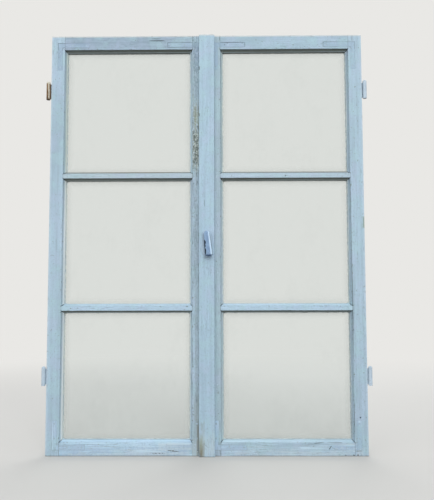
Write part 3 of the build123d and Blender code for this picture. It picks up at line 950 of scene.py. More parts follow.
@dataclass(frozen=True)
class RustyIron(Finish):
    """Iron that has lost its paint, except on the dome and in a stripe down the barrel, where the cream also
    stands as a painted highlight.
    """

    name: str
    axis: float
    leaf_edge: float
    low: float
    high: float
    foot_slant: float = 0.8
    brown: Colour = tint(112, 88, 64)
    pale: Colour = tint(150, 124, 96)
    pit_shade: Colour = tint(76, 58, 44)
    foot_shade: Colour = tint(60, 46, 34)
    cream: Colour = tint(206, 202, 186)
    gap_shade: Colour = tint(76, 80, 86)

    def surface(self, tree: Tree) -> Term:
        """Brown rust, darker below, with cream on the dome and in a stripe that are left paint and a painted
        highlight.

        Args:
            tree: The tree to add to.

        Returns:
            The shader.
        """
        at = tree.place()
        broad, pits = at.noise(90, 60, 4.0, 0.65), at.noise(900, 900)
        foot_line = self.low - self.foot_slant * self.leaf_edge
        foot = (at.z + at.x * self.foot_slant).rise(foot_line + 4 * MM, foot_line - 6 * MM)
        # Painted highlight with left paint: the top of the dome and a stripe right of the barrel's axis are
        # painted cream.
        dome = (at.z + (broad - 0.5) * (14 * MM)).rise(self.high - 9 * MM, self.high - 6 * MM)
        stripe = (at.x + (broad - 0.5) * (7 * MM)).near(self.axis + 3.2 * MM, 1.1 * MM, 1.6 * MM)
        paint = dome.most(stripe * 0.9 * (1 - foot))
        # Painted shade in the gap between the barrel and the leaf.
        gap = (at.x * -1.0).near(self.leaf_edge + 1.2 * MM, 1.4 * MM, 1.0 * MM)
        colour = tree.blend(broad.rise(0.35, 0.7), self.brown, self.pale)
        colour = colour.coated(pits.rise(0.5, 0.75) * 0.5, self.pit_shade)
        colour = colour.coated(foot * 0.7, self.foot_shade)
        colour = colour.coated(paint, self.cream).coated(gap * 0.7, self.gap_shade)
        height = pits * (0.12 * MM) + broad * (0.3 * MM) + paint * (0.15 * MM)
        return tree.skin(colour, 0.85 - paint * 0.35, height)


@dataclass(frozen=True)
class Notch:
    """A dark chipped place in the left edge of the lever."""

    below_axis: float
    half_height: float
    depth: float


@dataclass(frozen=True)
class WornLever(Finish):
    """Cast grey-blue metal, with a painted highlight along its right side, and chipped along its left."""

    name: str
    axis_x: float
    axis_z: float
    lean: float
    length: float
    head_half: float = 11 * MM
    widening: float = 0.036
    notches: tuple[Notch, ...] = (
        Notch(30 * MM, 10 * MM, 0.50), Notch(41 * MM, 8 * MM, 0.36), Notch(60 * MM, 13 * MM, 0.42))
    cast: Colour = tint(122, 150, 184)
    cast_light: Colour = tint(142, 170, 202)
    left_light: Colour = tint(152, 180, 206)
    # The painted highlight down the right side.
    bright: Colour = tint(196, 222, 244)
    # The painted shade on the lever's side walls.
    wall: Colour = tint(66, 88, 110)
    # The painted shade on the lever's lower end.
    foot: Colour = tint(44, 68, 102)
    chip: Colour = tint(24, 40, 60)

    def surface(self, tree: Tree) -> Term:
        """Blue-grey metal with a painted highlight band, walls and lower end darkened as painted shade, and
        chips along the left edge.

        Args:
            tree: The tree to add to.

        Returns:
            The shader.
        """
        at = tree.place()
        below = self.axis_z - at.z
        sideways = (at.x - self.axis_x) - below * math.tan(self.lean)
        aside = sideways / (self.head_half + below * self.widening)
        blotch, fine = at.noise(130, 90, 4.0, 0.65), at.noise(1200, 500)
        ragged = (blotch - 0.5) * 0.5
        # Painted highlight: a pale band down the right side of the lever.
        highlight_band = (aside + ragged * 0.3).near(0.74, 0.16, 0.22)
        dark: Value = 0.0
        for notch in self.notches:
            reach = abs(below - notch.below_axis) / notch.half_height
            depth = notch.depth * (1 - reach * reach) - 1 + ragged
            dark = (aside - depth).rise(0.10, -0.06).most(dark)
        # Painted shade: the lower end of the lever, which faces down, is darkened.
        low = (below + ragged * (8 * MM)).rise(self.length - 11 * MM, self.length - 3 * MM)
        colour = tree.blend(blotch.rise(0.35, 0.65), self.cast, self.cast_light)
        colour = colour.coated((aside + ragged * 0.4).near(-0.68, 0.12, 0.2) * 0.5, self.left_light)
        # Painted shade darkens the lever's side walls.
        colour = colour.coated(highlight_band, self.bright).coated(abs(aside).rise(0.86, 0.98) * 0.85, self.wall)
        colour = colour.coated(low * 0.85, self.foot).coated(dark, self.chip)
        height = fine * (0.03 * MM) + blotch * (0.2 * MM) - dark * (0.3 * MM)
        return tree.skin(colour, 0.5 - highlight_band * 0.12 + dark * 0.25, height, Metallic=0.1)


@dataclass(frozen=True)
class PlainMetal(Finish):
    """Iron or steel that was never painted: drawn or rolled, with a little rust."""

    name: str
    bright: Colour
    dim: Colour
    rust: float
    roughness: float = 0.45
    rust_shade: Colour = tint(104, 72, 50)

    def surface(self, tree: Tree) -> Term:
        """Metal with rolling marks and rust in spots.

        Args:
            tree: The tree to add to.

        Returns:
            The shader.
        """
        at = tree.place()
        rolled, spots = at.noise(900, 30, 2.0), at.noise(150, 90, 4.0, 0.65)
        rusty = (spots + self.rust * 0.3).rise(0.62, 0.74)
        colour = tree.blend(rolled.rise(0.3, 0.7), self.dim, self.bright).coated(rusty, self.rust_shade)
        height = rolled * (0.02 * MM) + rusty * (0.06 * MM)
        return tree.skin(colour, self.roughness + rusty * 0.4, height, Metallic=0.9 - rusty * 0.85)


PAINTED_IRON = PaintedIron("painted_iron_coat")
PLAIN_STEEL = PlainMetal("plain_steel", tint(170, 168, 162), tint(122, 120, 116), 0.3)
BARE_IRON = PlainMetal("bare_iron_coat", tint(112, 108, 104), tint(74, 72, 72), 0.45, 0.55)


@dataclass(frozen=True)
class Putty(Finish):
    """Linseed putty with a thin coat of paint, dry and cracked across."""

    name: str
    dull: Colour = tint(172, 178, 172)
    clean: Colour = tint(196, 206, 210)
    bare: Colour = tint(170, 158, 134)
    crack: Colour = tint(84, 82, 76)
    underside_shade: Colour = tint(88, 90, 84)

    def surface(self, tree: Tree) -> Term:
        """Paint over putty with shrinkage cracks.

        Args:
            tree: The tree to add to.

        Returns:
            The shader.
        """
        at = tree.place()
        broad, fine = at.noise(30, 30), at.noise(200, 200)
        sway = (broad - 0.5) * 0.8
        walls = tree.cell_walls(tree.vector(at.x * 45 + sway, at.y * 20, at.z * 45 + sway))
        split = walls.rise(0.05, 0.02) * broad.rise(0.45, 0.6)
        lost = (broad + fine * 0.3).rise(0.74, 0.78)
        # Painted shade: faces of the putty that look down are darkened.
        below = tree.upward().rise(-0.1, -0.5)
        colour = tree.blend(broad.rise(0.35, 0.65), self.dull, self.clean)
        colour = colour.coated(lost, self.bare).coated(split, self.crack).coated(below * 0.85, self.underside_shade)
        height = broad * (0.5 * MM) - split * (0.6 * MM) - lost * (0.2 * MM)
        return tree.skin(colour, 0.7, height)


@dataclass(frozen=True)
class WindowGlass(Finish):
    """Old sheet glass: clear, a little grey-green, with dust and a lap of paint round it."""

    name: str
    layout: Layout
    clear_tint: Colour = (0.925, 0.945, 0.94, 1.0)
    dust_shade: Colour = tint(196, 200, 196)
    lap_dull: Colour = tint(176, 194, 200)
    lap_clean: Colour = tint(208, 214, 208)
    head_on_mirror: float = 0.04
    slant_mirror: float = 0.9

    def surface(self, tree: Tree) -> Term:
        """Clear glass that mirrors at a slant, under dust and the painter's lap.

        Args:
            tree: The tree to add to.

        Returns:
            The shader.
        """
        at = tree.place()
        beside, beyond = self.layout.beside_sight(at.x), self.layout.beyond_sight(at.z)
        inside = beside.most(beyond)
        slant = tree.add("ShaderNodeLayerWeight", {}, {"Blend": 0.5}, "Facing")
        ripple = tree.relief(at.noise(6, 2.5, 1.0, 0.5) * (1.5 * MM))
        clear = tree.add("ShaderNodeBsdfTransparent", {}, {"Color": self.clear_tint})
        gloss = tree.add("ShaderNodeBsdfAnisotropic", {}, {
            "Color": (1.0, 1.0, 1.0, 1.0), "Roughness": 0.04, "Normal": ripple})
        glass = tree.mix(self.head_on_mirror + slant ** 5.0 * self.slant_mirror, clear, gloss)
        edge_dust = inside.rise(-34 * MM, 0.0) ** 2.0 * 0.16
        dust = (edge_dust + at.noise(7, 5).rise(0.45, 0.8) * 0.05) * (0.6 + at.noise(700, 700, 2.0, 0.7))
        powder = tree.add("ShaderNodeBsdfDiffuse", {}, {"Color": self.dust_shade})
        wander = at.noise(60, 60)
        wavy = inside + (wander - 0.55) * (8 * MM) + beside.rise(-12 * MM, -4 * MM) * (2.4 * MM)
        behind = at.y - self.layout.front - self.layout.glass
        lap = wavy.rise(-0.9 * MM, -0.5 * MM) * behind.rise(2 * MM, 1 * MM)
        paint = tree.skin(tree.blend(wander.rise(0.4, 0.6), self.lap_dull, self.lap_clean), 0.5)
        return tree.mix(lap, tree.mix(dust, glass, powder), paint)


@dataclass(frozen=True)
class PlainFloor(Finish):
    """A pale floor that fades into the background further out."""

    name: str
    shade: Colour
    background: Colour
    thrown_back: Colour = (0.24, 0.24, 0.23, 1.0)
    fade_start: float = 1.4
    fade_end: float = 3.4

    def surface(self, tree: Tree) -> Term:
        """Matt near the doors, plain far away, and dim in the light it throws back.

        Args:
            tree: The tree to add to.

        Returns:
            The shader.
        """
        at = tree.place()
        away = ((at.x * at.x + at.y * at.y) ** 0.5).rise(self.fade_start, self.fade_end)
        plain = tree.add("ShaderNodeEmission", {}, {"Color": self.background, "Strength": 1.0})
        shown = tree.mix(away, tree.skin(self.shade, 0.9), plain)
        return tree.mix(tree.seen_directly(), tree.skin(self.thrown_back, 1.0), shown)


def add_object(name: str, data: bpy.types.ID) -> bpy.types.Object:
    """Puts a new object in the scene.

    Args:
        name: Its name.
        data: Its mesh, lamp or camera.

    Returns:
        The object.
    """
    made = bpy.data.objects.new(name, data)
    bpy.context.scene.collection.objects.link(made)
    return made


def islands(node: str) -> list[tuple[Vector, Vector]]:
    """Finds the separate pieces in a CAD node.

    Args:
        node: The node's name.

    Returns:
        Lowest and highest corner of each piece.
    """
    form = bmesh.new()
    form.from_mesh(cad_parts[node].data)
    bmesh.ops.remove_doubles(form, verts=form.verts, dist=SAME_PLACE)
    boxes, seen = [], set()
    for first in form.verts:
        if first in seen:
            continue
        group, edge = [], [first]
        seen.add(first)
        while edge:
            vertex = edge.pop()
            group.append(vertex.co.copy())
            for link in vertex.link_edges:
                other = link.other_vert(vertex)
                if other not in seen:
                    seen.add(other)
                    edge.append(other)
        low = Vector(min(point[axis] for point in group) for axis in range(3))
        high = Vector(max(point[axis] for point in group) for axis in range(3))
        boxes.append((low, high))
    form.free()
    return boxes


class Recipe:
    """A geometry tree with named inputs, and the mesh that it makes."""

    def __init__(self, name: str) -> None:
        """Starts an empty tree with geometry in and out.

        Args:
            name: The tree's name.
        """
        self.group = bpy.data.node_groups.new(name, "GeometryNodeTree")
        self.tree = Tree(self.group)
        self.values: dict[str, object] = {}
        self.group.interface.new_socket("Points", in_out="INPUT", socket_type="NodeSocketGeometry")
        self.group.interface.new_socket("Mesh", in_out="OUTPUT", socket_type="NodeSocketGeometry")
        self.entry = self.group.nodes.new("NodeGroupInput")

    def size(self, name: str, value: float | int) -> Term:
        """Adds a named input.

        Args:
            name: The input's name.
            value: Its value; a whole number makes a whole-number input.

        Returns:
            The input as a term.
        """
        kind = "NodeSocketInt" if isinstance(value, int) else "NodeSocketFloat"
        socket = self.group.interface.new_socket(name, in_out="INPUT", socket_type=kind)
        self.values[socket.identifier] = value
        return Term(self.tree, self.entry.outputs[name])

    def points(self) -> Term:
        """The geometry that the tree starts from."""
        return Term(self.tree, self.entry.outputs["Points"])

    def node(self, kind: str, settings: dict | None = None, sockets: dict | None = None,
             output: int | str = 0) -> Term:
        """Adds a geometry node; its full name follows from the short one."""
        return self.tree.add("GeometryNode" + kind, settings, sockets, output)

    def random(self, low: Value, high: Value, seed: Value) -> Term:
        """A random number for each place."""
        sockets = {2: low, 3: high, "Seed": seed}
        return self.tree.add("FunctionNodeRandomValue", {"data_type": "FLOAT"}, sockets, 1)

    def make(self, name: str, seeds: bpy.types.Mesh, result: Term,
             finish: Finish) -> bpy.types.Object:
        """Runs the tree on a mesh of places and keeps the result as a plain mesh.

        Args:
            name: The new piece's name.
            seeds: The mesh of places.
            result: The last term, as instances or mesh.
            finish: The finish of the piece.

        Returns:
            The piece, with no modifier.
        """
        real = self.node("RealizeInstances", {}, {0: result})
        dressed = self.node("SetMaterial", {}, {0: real, "Material": finish.material()})
        out = self.group.nodes.new("NodeGroupOutput")
        self.group.links.new(dressed.socket, out.inputs["Mesh"])
        carrier = add_object(name + "_places", seeds)
        modifier = carrier.modifiers.new("recipe", "NODES")
        modifier.node_group = self.group
        for identifier, value in self.values.items():
            modifier[identifier] = value
        bpy.context.view_layer.update()
        shown = carrier.evaluated_get(bpy.context.evaluated_depsgraph_get())
        mesh = bpy.data.meshes.new_from_object(shown)
        mesh.name = name
        bpy.data.objects.remove(carrier)
        return add_object(name, mesh)


@dataclass
class BracketScrews:
    """Slotted screws of the corner brackets, each turned its own way and painted over."""

    side: str
    seed: int
    finish: Finish = PAINTED_IRON
    slot_width: float = 1.0 * MM
    slot_depth: float = 0.9 * MM
    head_depth: float = 1.6 * MM
    segments: int = 20

    def places(self, boxes: list[tuple[Vector, Vector]]) -> bpy.types.Mesh:
        """One point for each screw, in the middle of its head.

        Args:
            boxes: Lowest and highest corner of each packed screw.

        Returns:
            The mesh of points.
        """
        mesh = bpy.data.meshes.new(f"{self.side}_bracket_screws_places")
        middles = [((low.x + high.x) / 2, low.y, (low.z + high.z) / 2) for low, high in boxes]
        mesh.from_pydata(middles, [], [])
        return mesh

    def build(self) -> bpy.types.Object:
        """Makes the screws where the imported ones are.

        Returns:
            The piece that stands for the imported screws.
        """
        node = f"{self.side}_bracket_screws"
        boxes = islands(node)
        first_low, first_high = boxes[0]
        radius = (first_high.x - first_low.x) / 2

        recipe = Recipe(node + "_recipe")
        head = recipe.size("Head radius", radius)
        shank = recipe.size("Shank radius", radius / 2)
        whole = recipe.size("Length", first_high.y - first_low.y)
        deep = recipe.size("Head depth", self.head_depth)
        slot = recipe.size("Slot width", self.slot_width)
        cut = recipe.size("Slot depth", self.slot_depth)
        seed = recipe.size("Seed", self.seed)
        vector = recipe.tree.vector

        cone = recipe.node("MeshCone", {}, {
            "Vertices": self.segments, "Radius Top": shank, "Radius Bottom": head, "Depth": deep})
        groove = recipe.node("MeshCube", {}, {"Size": vector(head * 3.0, slot, cut * 2.0)})
        slotted = recipe.node("MeshBoolean", {"operation": "DIFFERENCE"}, {0: cone, 1: groove})
        bar = recipe.node("MeshCylinder", {}, {
            "Vertices": self.segments, "Radius": shank, "Depth": whole - deep})
        down = vector(0.0, 0.0, (whole + deep) / 2.0)
        bar = recipe.node("Transform", {}, {0: bar, "Translation": down})
        screw = recipe.node("JoinGeometry", {}, {0: slotted})
        recipe.group.links.new(bar.socket, screw.socket.node.inputs[0])
        turn = recipe.random(0.0, math.pi, seed)
        outward = recipe.node("Transform", {}, {0: screw, "Rotation": (-math.pi / 2, 0.0, 0.0)})
        placed = recipe.node("InstanceOnPoints", {}, {
            0: recipe.points(), "Instance": outward, "Rotation": vector(0.0, turn, 0.0)})
        piece = recipe.make(f"{self.side}_slotted_screws", self.places(boxes), placed, self.finish)
        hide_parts(node)
        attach(piece, "leaves")
        return piece


@dataclass(frozen=True)
class FlakeArea:
    """A part of the room face where the coat lets go."""

    low: tuple[float, float]
    high: tuple[float, float]
    count: int


@dataclass
class PaintFlakes:
    """Small dished flakes of loose paint that still cling to the timber."""

    face: float
    finish: Finish = PaintedIron(
        "loose_paint", clean=tint(200, 218, 230), dull=tint(172, 192, 204), rust=-0.6)
    radius: float = 2.4 * MM
    thickness: float = 0.25 * MM
    dish: float = 0.7 * MM
    tilt: float = 0.18
    least_width: float = 0.4
    most_width: float = 1.3
    sides: int = 7
    ragged_lumps: float = 420.0
    raggedness: float = 2.5
    seed: int = 11
    areas: tuple[FlakeArea, ...] = (
        FlakeArea((-0.050, 1.000), (-0.044, 1.250), 26),
        FlakeArea((-0.044, 0.010), (-0.028, 0.060), 8),
        FlakeArea((-0.500, 0.0045), (-0.060, 0.012), 70),
        FlakeArea((-0.170, 0.006), (-0.060, 0.030), 34),
        FlakeArea((0.100, 0.0045), (0.500, 0.010), 50),
        FlakeArea((0.420, 0.008), (0.545, 0.030), 34),
        FlakeArea((0.034, 0.120), (0.042, 1.300), 26),
    )

    def seeds(self) -> bpy.types.Mesh:
        """Makes one rectangle for each area.

        Returns:
            The mesh, with the flakes to the square metre on its corners.
        """
        corners, quads, densities = [], [], []
        for area in self.areas:
            (left, low), (right, high) = area.low, area.high
            outline = ((left, low), (right, low), (right, high), (left, high))
            quads.append(tuple(range(len(corners), len(corners) + 4)))
            corners += [(x, self.face, z) for x, z in outline]
            densities += [area.count / ((right - left) * (high - low))] * 4
        mesh = bpy.data.meshes.new("flake_areas")
        mesh.from_pydata(corners, [], quads)
        mesh.attributes.new("density", "FLOAT", "POINT").data.foreach_set("value", densities)
        return mesh

    def build(self) -> bpy.types.Object:
        """Scatters the flakes over the areas.

        Returns:
            The piece.
        """
        recipe = Recipe("paint_flakes_recipe")
        radius = recipe.size("Radius", self.radius)
        thickness = recipe.size("Thickness", self.thickness)
        dish = recipe.size("Dish", self.dish)
        tilt = recipe.size("Tilt", self.tilt)
        seed = recipe.size("Seed", self.seed)
        tree = recipe.tree

        density = recipe.node("InputNamedAttribute", {"data_type": "FLOAT"}, {"Name": "density"})
        places = recipe.node("DistributePointsOnFaces", {}, {
            "Mesh": recipe.points(), "Density": density, "Seed": seed})
        disc = recipe.node("MeshCylinder", {"fill_type": "TRIANGLE_FAN"}, {
            "Vertices": self.sides, "Radius": radius, "Depth": thickness})
        x, y, _ = tree.split(recipe.node("InputPosition"))
        rim = tree.vector(x * self.ragged_lumps, y * self.ragged_lumps, 0.0)
        ragged = (tree.noise(rim, 1.0, 0.5) - 0.5) * self.raggedness
        lift = (x * x + y * y) / (radius * radius) * dish
        offset = tree.vector(x * ragged, y * ragged, lift)
        flake = recipe.node("SetPosition", {}, {0: disc, "Offset": offset})
        flake = recipe.node("Transform", {}, {0: flake, "Rotation": (math.pi / 2, 0.0, 0.0)})
        turn = recipe.random(0.0, math.tau, seed)
        leans = [recipe.random(tilt * -1.0, tilt, seed + step) for step in (1.0, 2.0)]
        widths = [recipe.random(self.least_width, self.most_width, seed + step) for step in (3.0, 4.0)]
        placed = recipe.node("InstanceOnPoints", {}, {
            0: places, "Instance": flake, "Rotation": tree.vector(leans[0], turn, leans[1]),
            "Scale": tree.vector(widths[0], 1.0, widths[1])})
        piece = recipe.make("paint_flakes", self.seeds(), placed, self.finish)
        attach(piece, "leaves")
        log.info("%d faces of paint flakes", len(piece.data.polygons))
        return piece


@dataclass
class Leaf:
    """One glazed leaf: its members, glass, putty, brackets and hinges.

    Attributes:
        layout: Where the members lie.
        side: The side, as the nodes are named.
        screw_seed: Seed for the turn of the screws.
        bracket_tones: Clean and dull paint of the upper brackets.
        hinge_tones: Clean and dull paint of the hinges.
    """

    layout: Layout
    side: str
    screw_seed: int
    bracket_tones: tuple[Colour, Colour]
    hinge_tones: tuple[Colour, Colour] = (tint(196, 213, 227), tint(174, 192, 206))

    def members(self) -> dict[str, PaintedTimber]:
        """The paints by the member's name, which each side has for itself."""
        raise NotImplementedError

    def top_marks(self) -> Marks:
        """Cracks and patches that reach the upper brackets, which each side has for itself."""
        raise NotImplementedError

    def foot_marks(self) -> Marks:
        """Cracks and patches that reach the lower brackets, which each side has for itself."""
        raise NotImplementedError

    def upper_hinge_finish(self) -> Finish:
        """The finish of the upper hinge, which each side has for itself."""
        raise NotImplementedError

    def dress(self) -> None:
        """Puts the finishes on the leaf's nodes."""
        lower_bar = PaintedTimber(
            "bar_paint", Grain.ACROSS, self.layout, tint(190, 217, 236), tint(170, 195, 213))
        for member, paint in {**self.members(), "lower_bar": lower_bar}.items():
            paint.dress(f"{self.side}_{member}")
        self.dress_brackets()
        self.dress_hinges()
        glass, putty = WindowGlass("old_glass", self.layout), Putty("painted_putty")
        for pane in ("lower", "middle", "upper"):
            glass.dress(f"{self.side}_{pane}_pane")
            putty.dress(f"{self.side}_{pane}_putty")
        PLAIN_STEEL.dress(f"{self.side}_glazing_sprigs")
        screws = BracketScrews(self.side, self.screw_seed).build()
        log.info("%s leaf dressed, %d faces of screws", self.side, len(screws.data.polygons))

    def dress_brackets(self) -> None:
        """Paints the brackets in the tones of the rails that they are let into, with their marks."""
        (gaps, worn), (splits, worn_foot) = self.top_marks(), self.foot_marks()
        top = PaintedTimber(
            f"{self.side}_upper_bracket_paint", Grain.BOTH, self.layout, *self.bracket_tones,
            cracks=gaps, patches=worn)
        foot = PaintedTimber(
            f"{self.side}_lower_bracket_paint", Grain.BOTH, self.layout, tint(184, 211, 231),
            tint(158, 184, 204), cracks=splits, patches=worn_foot, wear=0.2, pale_streaks=0.5,
            outlines=0.5)
        for place in ("outer", "inner"):
            top.dress(f"{self.side}_top_{place}_bracket")
            foot.dress(f"{self.side}_bottom_{place}_bracket")

    def dress_hinges(self) -> None:
        """Puts the finishes on the hinges and their nails."""
        # The third argument is the painted shade in the hinge's gap.
        lower = PaintedIron("lower_hinge_paint", self.layout.edge, 0.15, *self.hinge_tones)
        lower.dress(f"{self.side}_lower_hinge")
        self.upper_hinge_finish().dress(f"{self.side}_upper_hinge")
        PAINTED_IRON.dress(f"{self.side}_hinge_nails")


@dataclass
class LeftLeaf(Leaf):
    """The left leaf, worn bare beside the strip, with an upper hinge that has lost its paint."""

    side: str = "left"
    screw_seed: int = 7
    bracket_tones: tuple[Colour, Colour] = (tint(166, 190, 211), tint(144, 166, 187))
    barrel_radius: float = 7 * MM

    def upper_hinge_finish(self) -> Finish:
        """Rusty iron."""
        low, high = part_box("left_upper_hinge")
        return RustyIron("rusty_iron_coat", low.x + self.barrel_radius, self.layout.edge, low.z, high.z)

    def top_marks(self) -> Marks:
        """No cracks, and the worn places of the meeting stile."""
        return (), self.worn_meeting()

    def foot_marks(self) -> Marks:
        """No cracks, and the worn places of the meeting stile and the bottom rail."""
        return (), self.worn_meeting() + self.flaking_foot()

    @staticmethod
    def flaking_foot() -> tuple[Patch, ...]:
        """Pale flaking paint on the left bottom rail, beside the strip."""
        return (Patch((-0.165, 0.024), (-0.058, 0.040), tint(200, 216, 226), 12 * MM, strength=0.6),)

    @staticmethod
    def worn_meeting() -> tuple[Patch, ...]:
        """Where the left meeting stile has lost its coat beside the strip, from the top down.

        Returns:
            The patches. Those with left_on are mottled with scraps of paint.
        """
        return (
            Patch((-0.046, 1.380), (-0.024, 1.484), tint(112, 131, 149), 11 * MM, 0.1, 9 * MM, 0.6,
                  left_on=tint(152, 172, 186)),
            Patch((-0.046, 1.220), (-0.024, 1.400), tint(108, 124, 134), 9 * MM, 0.1, 8 * MM, 0.75,
                  left_on=tint(158, 176, 186)),
            Patch((-0.050, 1.000), (-0.026, 1.170), tint(90, 100, 94), 8 * MM, 0.1, 3 * MM, 1.0,
                  left_on=tint(184, 194, 190)),
            Patch((-0.047, 1.150), (-0.026, 1.245), tint(128, 134, 118), 8 * MM, 0.1, 3 * MM, 0.9,
                  left_on=tint(170, 182, 172)),
            Patch((-0.046, 0.600), (-0.026, 0.990), tint(122, 136, 142), 9 * MM, 0.1, 6 * MM, 0.6,
                  left_on=tint(160, 180, 192)),
            Patch((-0.040, 0.080), (-0.026, 0.610), tint(128, 142, 148), 6 * MM, 0.1, 5 * MM, 0.6,
                  left_on=tint(156, 174, 184)),
            Patch((-0.046, 0.020), (-0.024, 0.200), tint(150, 162, 160), 6 * MM, 0.2, 7 * MM, 0.5),
            Patch((-0.058, -0.010), (-0.033, 0.046), tint(188, 202, 208), 8 * MM, 0.3, 6 * MM, 0.45),
            Patch((-0.032, 0.000), (-0.024, 0.110), tint(112, 106, 88), 4 * MM, 0.2, 4 * MM, 0.6),
        )

    def members(self) -> dict[str, PaintedTimber]:
        """Bare wood beside the strip, and splits in the rails.

        Returns:
            The paints by the member's name.
        """
        return {
            "hinge_stile": PaintedTimber(
                "left_hinge_paint", Grain.UPRIGHT, self.layout, cove_dirt_and_shade=1.3,
                cove_shade=tint(172, 187, 182), low_cove_shade=tint(218, 227, 230)),
            "meeting_stile": PaintedTimber(
                "left_meeting_paint", Grain.UPRIGHT, self.layout, tint(188, 213, 229), tint(166, 189, 204),
                wear=0.9, weather=0.45, crazing=0.8, patches=self.worn_meeting(),
                cracks=(
                    Crack((-0.054, 0.0165), (-0.054, 0.0055), 1.0 * MM, 0.8),
                    Crack((-0.0525, 1.4920), (-0.0495, 1.4720), 1.4 * MM, 0.9),
                    Crack((-0.034, 0.0190), (-0.031, 0.0180), 1.8 * MM),
                )),
            "top_rail": PaintedTimber(
                "left_top_paint", Grain.ACROSS, self.layout, tint(163, 185, 203), tint(138, 158, 174),
                cracks=(
                    Crack((-0.209, 1.4765), (-0.151, 1.4763), 1.7 * MM, 0.9),
                    Crack((-0.198, 1.4840), (-0.164, 1.4835), 1.0 * MM, 0.7),
                )),
            "bottom_rail": PaintedTimber(
                "left_bottom_paint", Grain.ACROSS, self.layout, tint(180, 210, 231), tint(152, 180, 202),
                # The first colour on the next line is the painted light on the rail's ledges.
                tint(196, 224, 244), wear=0.1, crazing=0.35, pale_streaks=0.6, outlines=0.5,
                patches=(
                    # A painted highlight: this pale band just under the rail's upper edge stands for the lit
                    # ledge.
                    Patch((-0.503, 0.0375), (-0.058, 0.0490), tint(204, 230, 247), 7 * MM, 0.1, 2 * MM, 0.75),
                    Patch((-0.500, 0.004), (-0.060, 0.013), tint(204, 218, 228), 10 * MM, strength=0.6),
                    *self.flaking_foot(),
                ),
                cracks=(
                    Crack((-0.1385, 0.0200), (-0.094, 0.0150), 1.2 * MM, 0.9),
                    Crack((-0.1270, 0.0190), (-0.101, 0.0155), 2.2 * MM, 0.75),
                    Crack((-0.189, 0.0095), (-0.144, 0.0095), 1.0 * MM, 0.9),
                    Crack((-0.1386, 0.0420), (-0.1385, 0.0210), 0.7 * MM, 0.5),
                    Crack((-0.420, 0.0340), (-0.300, 0.0330), 0.6 * MM, 0.4),
                )),
            "upper_bar": PaintedTimber(
                "upper_bar_paint", Grain.ACROSS, self.layout, tint(190, 210, 221), tint(172, 190, 200),
                dusty_top=0.9),
        }


